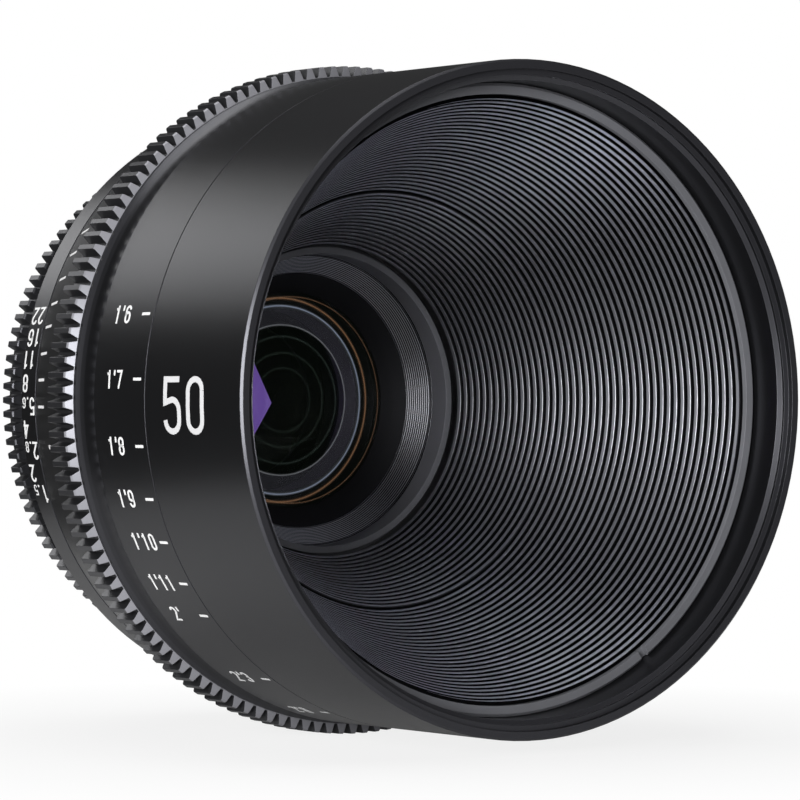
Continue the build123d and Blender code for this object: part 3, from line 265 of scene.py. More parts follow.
def bare_front(material, colour):
    """Paint the faces that look forward a lighter colour, as a painted sheen."""
    shader = material.node_tree.nodes["Principled BSDF"]
    # Forward faces get a lighter colour, which is a painted sheen.
    front_sheen_mix = add_node(material, "ShaderNodeMix", data_type="RGBA")
    front_sheen_mix.inputs["B"].default_value = (*colour, 1)
    join(material, share_forward(material), front_sheen_mix.inputs["Factor"])
    join(material, shader.inputs["Base Color"].links[0].from_socket, front_sheen_mix.inputs["A"])
    join(material, front_sheen_mix.outputs["Result"], shader.inputs["Base Color"])


def chamfer_front(material, tilt):
    """Shade faces that look forward as if they leaned outwards, like a chamfered tooth."""
    facing = add_node(material, "ShaderNodeNewGeometry")
    outwards = add_node(material, "ShaderNodeVectorMath", operation="MULTIPLY")
    outwards.inputs[1].default_value = (1, 0, 1)
    join(material, facing.outputs["Position"], outwards.inputs[0])
    unit = add_node(material, "ShaderNodeVectorMath", operation="NORMALIZE")
    join(material, outwards.outputs["Vector"], unit.inputs[0])
    lean = add_node(material, "ShaderNodeVectorMath", operation="SCALE")
    join(material, unit.outputs["Vector"], lean.inputs[0])
    join(material, share_forward(material, tilt), lean.inputs["Scale"])
    leaned = add_node(material, "ShaderNodeVectorMath", operation="ADD")
    broken_edge = material.node_tree.nodes["Bevel"]
    join(material, broken_edge.outputs["Normal"], leaned.inputs[0])
    join(material, lean.outputs["Vector"], leaned.inputs[1])
    join(material, leaned.outputs["Vector"], material.node_tree.nodes["Bump"].inputs["Normal"])


# A light grey on the teeth's front faces is a painted glint, and a dark grey on the barrel's
# forward faces is a faint painted sheen.
painted_tooth_glint = (0.22, 0.22, 0.24)
painted_barrel_sheen = (0.022, 0.022, 0.025)
tooth_tilt = 0.9
bare_front(gear_black_painted_glint, painted_tooth_glint)
chamfer_front(gear_black_painted_glint, tooth_tilt)
bare_front(barrel_black, painted_barrel_sheen)
print("painted front sheen:", gear_black_painted_glint.name, barrel_black.name)

# %% [markdown]
# ## The ribs inside the cone
# The cone in front of the glass is cut into ribs that trap stray light. Their lands get a light
# metallic colour, a painted sheen, and the grooves between them a near-black, painted shade.
# The ribs are evenly spaced along the axis, so the share of a pitch at which a point lies tells
# land from groove.

# %% Painted sheen on the lands and painted shade in the grooves
half_pitch = 0.5
land_ends = 0.19
groove_starts = 0.25
# The grooves' near-black is painted shade.
painted_groove_shade = (0.010, 0.010, 0.011, 1)


def ribbed_black(name, first_rib, pitch, painted_land_sheen):
    """Black metal with a painted sheen on its lands and painted shade in its grooves; depths are
    in millimetres.
    """
    material = anodised_black(name, painted_land_sheen, 0.28, 0.40, metallic=1.0)
    shader = material.node_tree.nodes["Principled BSDF"]
    place = add_node(material, "ShaderNodeTexCoord")
    split = add_node(material, "ShaderNodeSeparateXYZ")
    join(material, place.outputs["Object"], split.inputs["Vector"])
    from_first = add_node(material, "ShaderNodeMath", operation="SUBTRACT")
    from_first.inputs[1].default_value = lens_point(first_rib, 0, 0).y
    join(material, split.outputs["Y"], from_first.inputs[0])
    in_pitches = add_node(material, "ShaderNodeMath", operation="DIVIDE")
    in_pitches.inputs[1].default_value = pitch * millimetre
    join(material, from_first.outputs["Value"], in_pitches.inputs[0])
    off_land = add_node(material, "ShaderNodeMath", operation="PINGPONG")
    off_land.inputs[1].default_value = half_pitch
    join(material, in_pitches.outputs["Value"], off_land.inputs[0])
    land = add_node(material, "ShaderNodeMapRange")
    land.inputs["From Min"].default_value = groove_starts
    land.inputs["From Max"].default_value = land_ends
    join(material, off_land.outputs["Value"], land.inputs["Value"])
    # Mix painted shade into the grooves and a painted sheen onto the lands.
    tone = add_node(material, "ShaderNodeMix", data_type="RGBA")
    tone.inputs["A"].default_value = painted_groove_shade
    join(material, land.outputs["Result"], tone.inputs["Factor"])
    join(material, shader.inputs["Base Color"].links[0].from_socket, tone.inputs["B"])
    join(material, tone.outputs["Result"], shader.inputs["Base Color"])
    return material


first_front_rib = 9.7
last_front_rib = 43.57
front_pitches = 26
first_rear_rib = 44.32
rear_pitches = 15.5
rear_end = (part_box("hood_rear_liner")[1].y - front_rim_y) / millimetre
cone_ring_front = (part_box("baffle_cone_ring")[0].y - front_rim_y) / millimetre
cone_ring_pitch = 0.3
# Metallic tones of the lands' painted sheen, in the hood and in the cone.
hood_painted_sheen = 0.62
cone_painted_sheen = 0.24
front_pitch = (last_front_rib - first_front_rib) / front_pitches
rear_pitch = (rear_end - first_rear_rib) / rear_pitches
front_ribs = ribbed_black("front_ribs", first_front_rib, front_pitch, hood_painted_sheen)
rear_ribs = ribbed_black("rear_ribs", first_rear_rib, rear_pitch, hood_painted_sheen)
cone_ribs = ribbed_black("cone_ribs", cone_ring_front, cone_ring_pitch, cone_painted_sheen)
print("pitches in mm:", round(front_pitch, 2), round(rear_pitch, 2), cone_ring_pitch)

# %% [markdown]
# ## The bare metals
# The camera mount is ground stainless steel, because it takes the wear of every lens change,
# and the hidden sleeves are clear-anodised aluminium that slides well. Bare metal needs a
# metallic value of one, and its turning rings show more than they do on black.

# %% Steel and aluminium
metal_grain = 0.2 * millimetre
metal_relief = 0.008 * millimetre
metal_turning = 0.4


def turned_metal(name, colour, smooth, rough, pitch):
    """A bare turned metal of one colour; the pitch of its rings is in millimetres."""
    material, shader = start_material(name, Metallic=1.0)
    dark = tuple(0.9 * part for part in colour)
    place, relief = give_grain(material, shader, dark, colour, metal_grain, metal_relief,
                               smooth, rough)
    give_turning(material, place, relief, pitch * millimetre, metal_turning)
    return material


inner_aluminium = turned_metal("inner_aluminium", (0.56, 0.56, 0.58), 0.28, 0.42, 0.25)
mount_steel = turned_metal("mount_steel", (0.63, 0.62, 0.60), 0.16, 0.28, 0.15)
screw_steel = turned_metal("screw_steel", (0.30, 0.30, 0.31), 0.25, 0.4, 0.1)
blade_steel = turned_metal("blade_steel", (0.075, 0.065, 0.095), 0.3, 0.45, 0.3)
print("bare metals:", [m.name for m in (inner_aluminium, mount_steel, screw_steel, blade_steel)])

# %% [markdown]
# ## Colour by radius
# Whatever is seen in a lens is round: the ground rim of a glass, the bright seat that it
# rests on, the bands of its coating. So we measure how far a point lies from the axis and
# let a colour ramp, with as many stops as we like, give each ring its tone.

# %% A ramp that runs outwards
def share_of_radius(material, glass_radius):
    """How far a point lies from the axis, as a share of one radius."""
    place = add_node(material, "ShaderNodeTexCoord")
    flat = add_node(material, "ShaderNodeVectorMath", operation="MULTIPLY")
    flat.inputs[1].default_value = (1, 0, 1)
    join(material, place.outputs["Object"], flat.inputs[0])
    radius = add_node(material, "ShaderNodeVectorMath", operation="LENGTH")
    join(material, flat.outputs["Vector"], radius.inputs["Vector"])
    share = add_node(material, "ShaderNodeMapRange")
    share.inputs["From Max"].default_value = glass_radius
    join(material, radius.outputs["Value"], share.inputs["Value"])
    return share.outputs["Result"]


def colours_by_share(material, share, stops):
    """A ramp over a share; stops are (share, colour) and may have a fourth number, its cover."""
    colour = add_node(material, "ShaderNodeValToRGB")
    ramp = colour.color_ramp
    while len(ramp.elements) < len(stops):
        ramp.elements.new(0.5)
    for element, (position, tone) in zip(ramp.elements, stops):
        element.position = position
        element.color = tone if len(tone) == 4 else (*tone, 1)
    join(material, share, colour.inputs["Fac"])
    return colour


# %% [markdown]
# ## Clear glass
# A coated lens glass is all but invisible: light goes through, and only a few percent come
# back. Seven refracting solids would block the lamps from the iris, so we let each glass be
# mostly transparent and keep a weak mirror on it. Its cover says how much of it is there.

# %% Glass in front of the iris
glass_tint = (0.01, 0.015, 0.01)
deeper_tint = (0.012, 0.02, 0.012)
front_glass_cover = 0.10
polish_scale = 300.0


def clear_glass(name, tint, cover):
    """See-through glass with a weak mirror and a polish that is nearly even."""
    material, shader = start_material(name, IOR=1.5, Alpha=cover)
    shader.inputs["Base Color"].default_value = (*tint, 1)
    place = add_node(material, "ShaderNodeTexCoord")
    polish = add_node(material, "ShaderNodeTexNoise", Scale=polish_scale)
    join(material, place.outputs["Object"], polish.inputs["Vector"])
    haze = add_node(material, "ShaderNodeMapRange")
    haze.inputs["To Min"].default_value = 0.02
    haze.inputs["To Max"].default_value = 0.05
    join(material, polish.outputs["Fac"], haze.inputs["Value"])
    join(material, haze.outputs["Result"], shader.inputs["Roughness"])
    return material, shader


front_glass, front_shader = clear_glass("front_glass", glass_tint, front_glass_cover)
second_glass = clear_glass("second_glass", glass_tint, 0.05)[0]
third_glass = clear_glass("third_glass", deeper_tint, 0.10)[0]
print("clear glasses:", front_glass.name, second_glass.name, third_glass.name)

# %% [markdown]
# ## Rings in the front glass
# Through the rim of the front glass one sees its seat, as a pale blue and an amber ring, and
# further in the edges of the glasses that follow, as faint grey-green ones. A dark grey band
# lies between them. They are reflections and have no thickness, so a colour ramp draws them
# on the back of the front glass. A weak glow keeps them visible in the dark of the cone.

# %% Rings on the back of the front glass
front_glass_radius = 20.5 * millimetre
clear_stop = (*glass_tint, front_glass_cover)
dark_band = (0.045, 0.045, 0.055, 0.60)


def thin_ring(inner, peak, outer, colour):
    """Ramp stops of a ring that fades into the clear glass on both sides."""
    return ((inner, clear_stop), (peak, colour), (outer, clear_stop))


ring_stops = (
    *thin_ring(0.270, 0.285, 0.300, (0.14, 0.20, 0.16, 0.10)),
    *thin_ring(0.405, 0.420, 0.435, (0.14, 0.20, 0.16, 0.13)),
    *thin_ring(0.550, 0.566, 0.580, (0.16, 0.22, 0.19, 0.18)),
    (0.655, clear_stop), (0.667, (0.40, 0.42, 0.45, 0.60)), (0.679, dark_band), (0.810, dark_band),
    *thin_ring(0.822, 0.838, 0.854, (0.50, 0.58, 0.75, 0.80)),
    *thin_ring(0.888, 0.907, 0.926, (0.50, 0.27, 0.15, 0.70)))
ring_share = share_of_radius(front_glass, front_glass_radius)
seat_rings = colours_by_share(front_glass, ring_share, ring_stops)
behind = add_node(front_glass, "ShaderNodeSeparateXYZ")
glass_place = add_node(front_glass, "ShaderNodeTexCoord")
join(front_glass, glass_place.outputs["Object"], behind.inputs["Vector"])
is_back = add_node(front_glass, "ShaderNodeMath", operation="GREATER_THAN")
glass_middle = (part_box("front_element")[0].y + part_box("front_element")[1].y) / 2
is_back.inputs[1].default_value = glass_middle
join(front_glass, behind.outputs["Y"], is_back.inputs[0])
ring_colour = add_node(front_glass, "ShaderNodeMix", data_type="RGBA")
ring_colour.inputs["A"].default_value = (*glass_tint, 1)
join(front_glass, is_back.outputs["Value"], ring_colour.inputs["Factor"])
join(front_glass, seat_rings.outputs["Color"], ring_colour.inputs["B"])
join(front_glass, ring_colour.outputs["Result"], front_shader.inputs["Base Color"])
join(front_glass, ring_colour.outputs["Result"], front_shader.inputs["Emission Color"])
front_shader.inputs["Emission Strength"].default_value = 0.3
ring_cover = add_node(front_glass, "ShaderNodeMix")
ring_cover.inputs["A"].default_value = front_glass_cover
join(front_glass, is_back.outputs["Value"], ring_cover.inputs["Factor"])
join(front_glass, seat_rings.outputs["Alpha"], ring_cover.inputs["B"])
join(front_glass, ring_cover.outputs["Result"], front_shader.inputs["Alpha"])
print("ring stops:", len(ring_stops))

# %% [markdown]
# ## The purple behind the iris
# Through the opening one sees the coating of the rear glasses, which sends back a deep
# purple, paler and pinker in the middle where two reflections fall together. Little light
# finds its way in through a picture's few bounces, so the coating has a faint glow of its
# own on the side that looks forward. Rings round the axis vary it, as the stacked curved
# surfaces do.

# %% Glass behind the iris
rear_glass, rear_shader = start_material("rear_glass", Roughness=0.08, IOR=1.6,
                                         Emission_Strength=0.6)
rear_radius = 14.5 * millimetre
edge_on = 0.2
rear_colours = colours_by_share(rear_glass, share_of_radius(rear_glass, rear_radius), (
    (0.0, (0.60, 0.36, 0.78)), (0.30, (0.52, 0.32, 0.80)), (0.36, (0.33, 0.19, 0.68)),
    (0.62, (0.27, 0.15, 0.62)), (0.66, (0.33, 0.20, 0.70)), (1.0, (0.20, 0.12, 0.45))))
join(rear_glass, rear_colours.outputs["Color"], rear_shader.inputs["Base Color"])
facing_front = add_node(rear_glass, "ShaderNodeNewGeometry")
along_axis = add_node(rear_glass, "ShaderNodeSeparateXYZ")
join(rear_glass, facing_front.outputs["True Normal"], along_axis.inputs["Vector"])
forwards = add_node(rear_glass, "ShaderNodeMapRange")
forwards.inputs["From Min"].default_value = edge_on
forwards.inputs["From Max"].default_value = -edge_on
join(rear_glass, along_axis.outputs["Y"], forwards.inputs["Value"])
glow = add_node(rear_glass, "ShaderNodeMix", data_type="RGBA")
glow.inputs["A"].default_value = (0, 0, 0, 1)
join(rear_glass, forwards.outputs["Result"], glow.inputs["Factor"])
join(rear_glass, rear_colours.outputs["Color"], glow.inputs["B"])
join(rear_glass, glow.outputs["Result"], rear_shader.inputs["Emission Color"])
print("rear glass:", rear_glass.name)

# %% [markdown]
# ## Which piece has which finish
# The imported record names a finish for every node, as a parts list does. We follow it, but
# for a few pieces that have one of their own: the gear with its painted glint, the rings inside
# the cone, whose ribs get painted sheen and shade, and some of the glasses. Only the glass
# behind the iris has a strong colour, which shines through the opening.

# %% Dress the nodes
finishes = {"barrel_black": barrel_black, "gear_black": gear_black, "hood_black": front_ribs,
            "cell_black": cell_black, "inner_aluminium": inner_aluminium,
            "mount_steel": mount_steel, "screw_steel": screw_steel, "blade_steel": blade_steel,
            "coated_glass": third_glass}
own_finishes = {"focus_gear": gear_black_painted_glint, "hood_retaining_ring": ring_grey,
                "hood_rear_liner": rear_ribs, "baffle_cone_ring": cone_ribs,
                "front_retainer": mouth_black, "front_cell": cell_grey_painted_sheen,
                "front_group_spacer": cell_grey_painted_sheen, "front_element": front_glass,
                "second_element": second_glass, "fourth_element": rear_glass}
for subpart in frame["record"]["subparts"]:
    name = subpart["node"]
    finish = own_finishes.get(name, finishes[subpart["material_slot"]])
    nodes[name].data.materials.clear()
    nodes[name].data.materials.append(finish)

# %% [markdown]
# ## The paint in the marks
# Scale marks are cut with a small round cutter and filled with white paint, which dries a
# little unevenly. The paint is matt, so it stays readable when the black round it shines.
# The large number is a shade darker than the scales.

# %% Mark paint
paint_grain = 0.1 * millimetre
paint_relief = 0.008 * millimetre


def matt_paint(name, dark, light, smooth, rough):
    """White paint of two near tones."""
    material, shader = start_material(name, IOR=1.45)
    give_grain(material, shader, dark, light, paint_grain, paint_relief, smooth, rough)
    return material


mark_paint = matt_paint("mark_paint", (0.70, 0.70, 0.70), (0.82, 0.82, 0.82), 0.5, 0.7)
number_paint = matt_paint("number_paint", (0.55, 0.55, 0.56), (0.66, 0.66, 0.67), 0.45, 0.6)
print("paints:", mark_paint.name, number_paint.name)

# %% [markdown]
# ## Laying a flat shape round a ring
# A mark is drawn flat first, then cut into narrow strips, so that it can bend, and laid on
# the ring. First the cuts: bisect_plane splits whatever a level line crosses, and we repeat
# it from one end to the other.

# %% Cut a shape into strips
strip_width = 0.5 * millimetre


def cut_into_strips(flat_mesh):
    """Cut a flat mesh across its height, so that it can bend round a ring."""
    heights = [vertex.co.y for vertex in flat_mesh.verts]
    level = min(heights) + strip_width
    while level < max(heights):
        everything = flat_mesh.verts[:] + flat_mesh.edges[:] + flat_mesh.faces[:]
        bmesh.ops.bisect_plane(flat_mesh, geom=everything, plane_co=(0, level, 0),
                               plane_no=(0, 1, 0))
        level += strip_width


print("strips are", round(strip_width / millimetre, 2), "mm wide")

# %% [markdown]
# ## Finding the metal
# To find a ring's surface we shoot a ray from outside towards the axis and note where it
# lands. That works on a cylinder and on a taper alike, and the mark always sits on the metal.
# The search tree of a ring is slow to build, so each is kept for the next mark.

# %% Lay a shape on a ring
ray_start = 70
trees = {}


def surface_radius(ring_name, depth, clock):
    """How far the ring's outside lies from the axis at one place, in millimetres."""
    if ring_name not in trees:
        ring = nodes[ring_name].data
        corners = [vertex.co.copy() for vertex in ring.vertices]
        faces = [face.vertices[:] for face in ring.polygons]
        trees[ring_name] = BVHTree.FromPolygons(corners, faces)
    outside = lens_point(depth, ray_start, clock)
    inwards = (lens_point(depth, 0, clock) - outside).normalized()
    landing = trees[ring_name].ray_cast(outside, inwards)[3]
    return ray_start - landing / millimetre


def lay_on_ring(flat_mesh, ring_name, depth, clock, upside_down=False):
    """Bend a flat shape, drawn in metres round its own centre, onto a ring."""
    side = -1 if upside_down else 1
    base = surface_radius(ring_name, depth, clock)
    for vertex in flat_mesh.verts:
        here_depth = depth - side * vertex.co.x / millimetre
        here_clock = clock - side * vertex.co.y / millimetre / base / radians(1)
        here_radius = surface_radius(ring_name, here_depth, here_clock)
        vertex.co = lens_point(here_depth, here_radius, here_clock)


print("the barrel's radius at the side, in mm:", round(surface_radius("front_barrel", 20, 90), 2))

# %% [markdown]
# ## Drawing the digits
# Engraved digits are the path of a small round cutter, so every stroke has one width.
# That is why we draw them as paths and not with a typeface: a digit is a few lines and
# arcs in a narrow cell, one unit high, and a ribbon of one width follows each path.

# %% The path of each digit
digit_width = 0.50
arc_steps = 10
waist = 0.52
bowl_top = 0.60
lobe_of_three = 0.12
lobe_of_eight = 0.13
flag_of_one = 0.78
neck_of_two = 0.62
bar_of_four = 0.28
corner_of_five = 0.55
foot_mark_end = 0.70


def bend(middle, reach, start, end):
    """Points of an arc; middle and reach are pairs, and angles go round from the right."""
    turns = [radians(start + (end - start) * step / arc_steps) for step in range(arc_steps + 1)]
    return [(middle[0] + reach[0] * cos(turn), middle[1] + reach[1] * sin(turn)) for turn in turns]


def digit_paths(digit, stroke):
    """The centre lines of one digit, inside a cell one unit high."""
    low, high = stroke / 2, 1 - stroke / 2
    left, right = stroke / 2, digit_width - stroke / 2
    centre = digit_width / 2
    reach = (right - left) / 2
    top = (centre, high - reach)
    bottom = (centre, low + reach)
    both = (reach, reach)
    flat_three, flat_eight = (reach, lobe_of_three), (reach, lobe_of_eight)
    over_three, under_three = (centre, waist + lobe_of_three), (centre, waist - lobe_of_three)
    over_eight, under_eight = (centre, waist + lobe_of_eight), (centre, waist - lobe_of_eight)
    bowl = (centre, bowl_top - reach)
    six = bend(top, both, 0, 180) + bend(bottom, both, 180, 360) + bend(bowl, both, 0, 180)
    paths = {
        "0": [bend(top, both, 0, 180) + bend(bottom, both, 180, 360) + [(right, high - reach)]],
        "1": [[(centre, 0), (centre, 1)], [(centre, high - low), (centre - reach, flag_of_one)]],
        "2": [bend(top, both, 180, 0) + [(right, neck_of_two), (left, low), (digit_width, low)]],
        "3": [bend(top, both, 180, 0) + bend(over_three, flat_three, 0, -90),
              bend(under_three, flat_three, 90, 0) + bend(bottom, both, 0, -180)],
        "4": [[(right - low, 0), (right - low, 1)],
              [(right - low, high), (left, bar_of_four), (digit_width, bar_of_four)]],
        "5": [[(right, high), (left, high), (left, corner_of_five)]
              + bend(bowl, both, 90, 0) + bend(bottom, both, 0, -180)],
        "6": [six],
        "7": [[(0, high), (right, high), (centre - low, 0)]],
        "8": [bend(over_eight, flat_eight, 180, 360) + bend(top, both, 0, 180)
              + [(left, waist + lobe_of_eight)],
              bend(under_eight, flat_eight, 0, 180) + bend(bottom, both, 180, 360)
              + [(right, waist - lobe_of_eight)]],
        "9": [[(digit_width - x, 1 - y) for x, y in six]],
        "'": [[(low, 1), (low, foot_mark_end)]],
        ".": [[(low, 0), (low, stroke)]]}
    return paths[digit]


print("a digit is", digit_width, "of its height wide")

# %% [markdown]
# ## From a path to a ribbon
# The cutter's path becomes a strip with one width. At each point the strip's side stands
# across the way in and the way out, and it is lengthened in a bend, as a picture framer's
# mitre is, so that the stroke keeps its width round a corner.

# %% A ribbon along a path
least_lean = 0.5


def ribbon(flat_mesh, path, stroke, scale, shift):
    """A strip of one width along a path, with mitred bends."""
    points = [Vector((x, y)) for x, y in path]
    points = [point for index, point in enumerate(points)
              if index == 0 or (point - points[index - 1]).length > stroke / 100]
    last = len(points) - 1
    rows = []
    for index, point in enumerate(points):
        way_in = (points[max(index, 1)] - points[max(index, 1) - 1]).normalized()
        way_out = (points[min(index, last - 1) + 1] - points[min(index, last - 1)]).normalized()
        across = Vector((-way_in.y - way_out.y, way_in.x + way_out.x)).normalized()
        lean = max(least_lean, across.dot(Vector((-way_in.y, way_in.x))))
        side = across * stroke / 2 / lean
        ends = (point + side, point - side)
        rows.append([flat_mesh.verts.new((end.x * scale + shift, end.y * scale, 0))
                     for end in ends])
    for (left_a, right_a), (left_b, right_b) in zip(rows, rows[1:]):
        flat_mesh.faces.new((left_a, right_a, right_b, left_b))


print("a corner's side grows to at most", 1 / least_lean, "times")

# %% [markdown]
# ## Numbers and ticks
# A number is its digits side by side. On the stop scale what follows the point is cut small,
# to save room. Ticks are plain strips.

# %% Numbers and ticks
digit_gap = 0.15
small_share = 0.62


def flat_number(words, height, stroke, widen=1.0):
    """A flat number, centred, of one height in millimetres; stroke is a share of the height."""
    flat_mesh = bmesh.new()
    at = 0
    scale = 1.0
    for letter in words:
        for path in digit_paths(letter, stroke):
            ribbon(flat_mesh, path, stroke, scale, at)
        own_width = stroke if letter in "'." else digit_width
        at += (own_width + digit_gap) * scale
        if letter == ".":
            scale = small_share
    size = height * millimetre
    middle = (at - digit_gap * scale) / 2
    for vertex in flat_mesh.verts:
        vertex.co.x = (vertex.co.x - middle) * size * widen
        vertex.co.y = (vertex.co.y - 0.5) * size
    cut_into_strips(flat_mesh)
    return flat_mesh


def half_length(flat_mesh):
    """Half the length of a flat number, in millimetres."""
    return max(vertex.co.x for vertex in flat_mesh.verts) / millimetre


def flat_strip(length, width):
    """A flat strip whose length runs along the lens."""
    flat_mesh = bmesh.new()
    bmesh.ops.create_grid(flat_mesh, x_segments=4, y_segments=2, size=0.5)
    for vertex in flat_mesh.verts:
        vertex.co.x *= length * millimetre
        vertex.co.y *= width * millimetre
    return flat_mesh


print("gap between digits:", digit_gap, "of their height")

# %% [markdown]
# ## One piece for each scale
# All shapes of one scale are gathered in one mesh, so that a scale is one piece that rides
# on its ring. A thin Solidify gives the paint its body, half sunk into the ring.

# %% Fill the marks with paint
paint_thickness = 0.06 * millimetre


def paint_marks(name, shapes, body, paint):
    """One piece from many bent shapes, with a thin body of paint."""
    mesh = bpy.data.meshes.new(name)
    whole = bmesh.new()
    for shape in shapes:
        part = bpy.data.meshes.new("draft")
        shape.to_mesh(part)
        whole.from_mesh(part)
        bpy.data.meshes.remove(part)
        shape.free()
    whole.to_mesh(mesh)
    whole.free()
    piece = bpy.data.objects.new(name, mesh)
    bpy.context.scene.collection.objects.link(piece)
    mesh.materials.append(paint)
    body_of_paint = piece.modifiers.new("paint", "SOLIDIFY")
    body_of_paint.thickness = paint_thickness
    body_of_paint.offset = 0
    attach(piece, body)
    print(name, "has", len(mesh.polygons), "faces on", body)


# %% [markdown]
# ## The focus scale
# The distance scale runs round the front of the focus ring, with a tick in front of each
# number. The near distances stand at measured clock angles. The far ones follow the
# thin-lens rule: the glass moves out by the square of the focal length over the distance,
# and the ring turns in step with it, so they crowd together towards infinity.

# %% Distances on the focus ring
focal_length = 50
foot = 304.8
full_throw = 185
full_travel = 7.15
infinity_clock = 260.4
film_to_glass = 1.05 * focal_length
near_marks = (("1'6", 75.4), ("1'7", 86.5), ("1'8", 97.8), ("1'9", 106.9), ("1'10", 114.7),
              ("1'11", 122.7), ("2'", 129.5), ("2'3", 146.1), ("2'6", 159.6))
far_feet = (3, 4, 5, 7, 10, 20)
focus_tick_depth = 33.3
focus_number_start = 43.6
focus_number_height = 3.14
focus_stroke = 0.14
focus_widening = 1.15
focus_tick_length = 2.6
thin_tick = 0.5


def clock_of_distance(distance):
    """Where a distance in millimetres, from film to subject, stands on the ring."""
    to_subject = distance - film_to_glass
    moved_out = focal_length ** 2 / (to_subject - focal_length)
    return infinity_clock - full_throw * moved_out / full_travel


distance_marks = list(near_marks)
distance_marks += [(str(feet) + "'", clock_of_distance(feet * foot)) for feet in far_feet]
focus_shapes = []
for words, clock in distance_marks:
    number = flat_number(words, focus_number_height, focus_stroke, focus_widening)
    lay_on_ring(number, "focus_ring", focus_number_start - half_length(number), clock)
    focus_shapes.append(number)
for clock in [clock for words, clock in distance_marks] + [infinity_clock]:
    tick = flat_strip(focus_tick_length, thin_tick)
    lay_on_ring(tick, "focus_ring", focus_tick_depth, clock)
    focus_shapes.append(tick)
paint_marks("focus_scale", focus_shapes, "focus_ring", mark_paint)

# %% [markdown]
# ## The stop scale
# The stop numbers stand on the iris ring, upside down to the focus scale, because the
# assistant reads them from the other side. They turn with the ring, past one index on the
# fixed ring in front of it.

# %% Stops on the iris ring
stop_marks = (("22", 73.7), ("16", 78.0), ("11", 82.3), ("8", 86.8), ("5.6", 91.2),
              ("4", 95.7), ("2.8", 99.7), ("2", 104.2), ("1.5", 108.2))
stop_number_start = 81.0
stop_number_height = 3.2
stop_stroke = 0.13
stop_widening = 1.2
stop_shapes = []
for words, clock in stop_marks:
    number = flat_number(words, stop_number_height, stop_stroke, stop_widening)
    lay_on_ring(number, "iris_ring", stop_number_start - half_length(number), clock,
                upside_down=True)
    stop_shapes.append(number)
paint_marks("stop_scale", stop_shapes, "iris_ring", mark_paint)

# %% [markdown]
# ## The fixed marks
# On the fixed ring between the two gears stand the white ticks of the depth scale and the
# indexes that both scales are read against. They never turn, so they ride on the fixed body.

# %% Ticks and indexes on the shoulder
shoulder_tick_clocks = (56.8, 61.7, 66.9, 71.8, 76.3, 81.4, 86.3, 91.3)
shoulder_tick_depth = 71.8
shoulder_tick_length = 4.0
stop_index_clock = 98.5
focus_index_clock = 180
index_depth = 65.5
index_length = 5.0
index_width = 0.7
fixed_shapes = []
for clock in shoulder_tick_clocks:
    tick = flat_strip(shoulder_tick_length, thin_tick)
    lay_on_ring(tick, "shoulder_ring", shoulder_tick_depth, clock)
    fixed_shapes.append(tick)
for clock in (stop_index_clock, focus_index_clock):
    index = flat_strip(index_length, index_width)
    lay_on_ring(index, "shoulder_ring", index_depth, clock)
    fixed_shapes.append(index)
paint_marks("shoulder_marks", fixed_shapes, "fixed_body", mark_paint)

# %% [markdown]
# ## The focal length
# The focal length stands on the front barrel as a plain number, large enough to be read
# across a set. It is the same kind of shape as the scales, three times as tall.

# %% The large number
focal_number_depth = 18.1
focal_number_clock = 90.9
focal_number_height = 9.6
focal_stroke = 0.105
focal_widening = 1.17
focal_number = flat_number("50", focal_number_height, focal_stroke, focal_widening)
lay_on_ring(focal_number, "front_barrel", focal_number_depth, focal_number_clock)
paint_marks("focal_number", [focal_number], "fixed_body", number_paint)

# %% [markdown]
# ## The camera
# The picture was taken from close to the lens's own height, 33 degrees off its axis, from
# about 73 centimetres. Those come from fitting the rim's ellipse, and the long focal length
# frames it. We build the camera's axes as columns of a matrix, which leaves no doubt about
# which way it looks.

# %% Place the camera
camera_azimuth = 33.47
camera_distance = 734.6 * millimetre
rim_to_right = 22.1 * millimetre
camera_lens = 197.8
sensor_width = 36
towards_camera = Vector((-sin(radians(camera_azimuth)), -cos(radians(camera_azimuth)), 0))
to_the_right = Vector((cos(radians(camera_azimuth)), -sin(radians(camera_azimuth)), 0))
upwards = Vector((0, 0, 1))
camera_data = bpy.data.cameras.new("picture_camera")
camera_data.lens = camera_lens
camera_data.sensor_width = sensor_width
camera = bpy.data.objects.new("picture_camera", camera_data)
bpy.context.scene.collection.objects.link(camera)
rim_middle = Vector((0, front_rim_y, 0))
eye = rim_middle + camera_distance * towards_camera - rim_to_right * to_the_right
axes = Matrix((to_the_right, upwards, towards_camera)).transposed().to_4x4()
camera.matrix_world = Matrix.Translation(eye) @ axes
bpy.context.scene.camera = camera
print("camera at", [round(part, 3) for part in eye])

# %% [markdown]
# ## Who sees the white
# The lens stands before a white studio, yet a black lens needs dark round it to look black.
# So a ray that comes straight from the camera, or through glass, meets the full white, a
# mirrored ray meets a small share of it, and a scattered one meets less still.

# %% The share of white for each kind of ray
def white_seen(owner, mirrored, scattered):
    """The share socket, and the input that holds the white for the camera and through glass."""
    rays = add_node(owner, "ShaderNodeLightPath")
    dimmed = add_node(owner, "ShaderNodeMix", A=scattered, B=mirrored)
    join(owner, rays.outputs["Is Glossy Ray"], dimmed.inputs["Factor"])
    direct = add_node(owner, "ShaderNodeMath", operation="MAXIMUM")
    join(owner, rays.outputs["Is Camera Ray"], direct.inputs[0])
    join(owner, rays.outputs["Is Transmission Ray"], direct.inputs[1])
    share = add_node(owner, "ShaderNodeMix", B=1.0)
    join(owner, direct.outputs["Value"], share.inputs["Factor"])
    join(owner, dimmed.outputs["Result"], share.inputs["A"])
    return share.outputs["Result"], share.inputs["B"]


mirrored_on_floor = 0.08
scattered_on_floor = 0.08
mirrored_in_studio = 0.05
scattered_in_studio = 0.015
print("mirrored rays see", mirrored_in_studio, "of the studio's white")

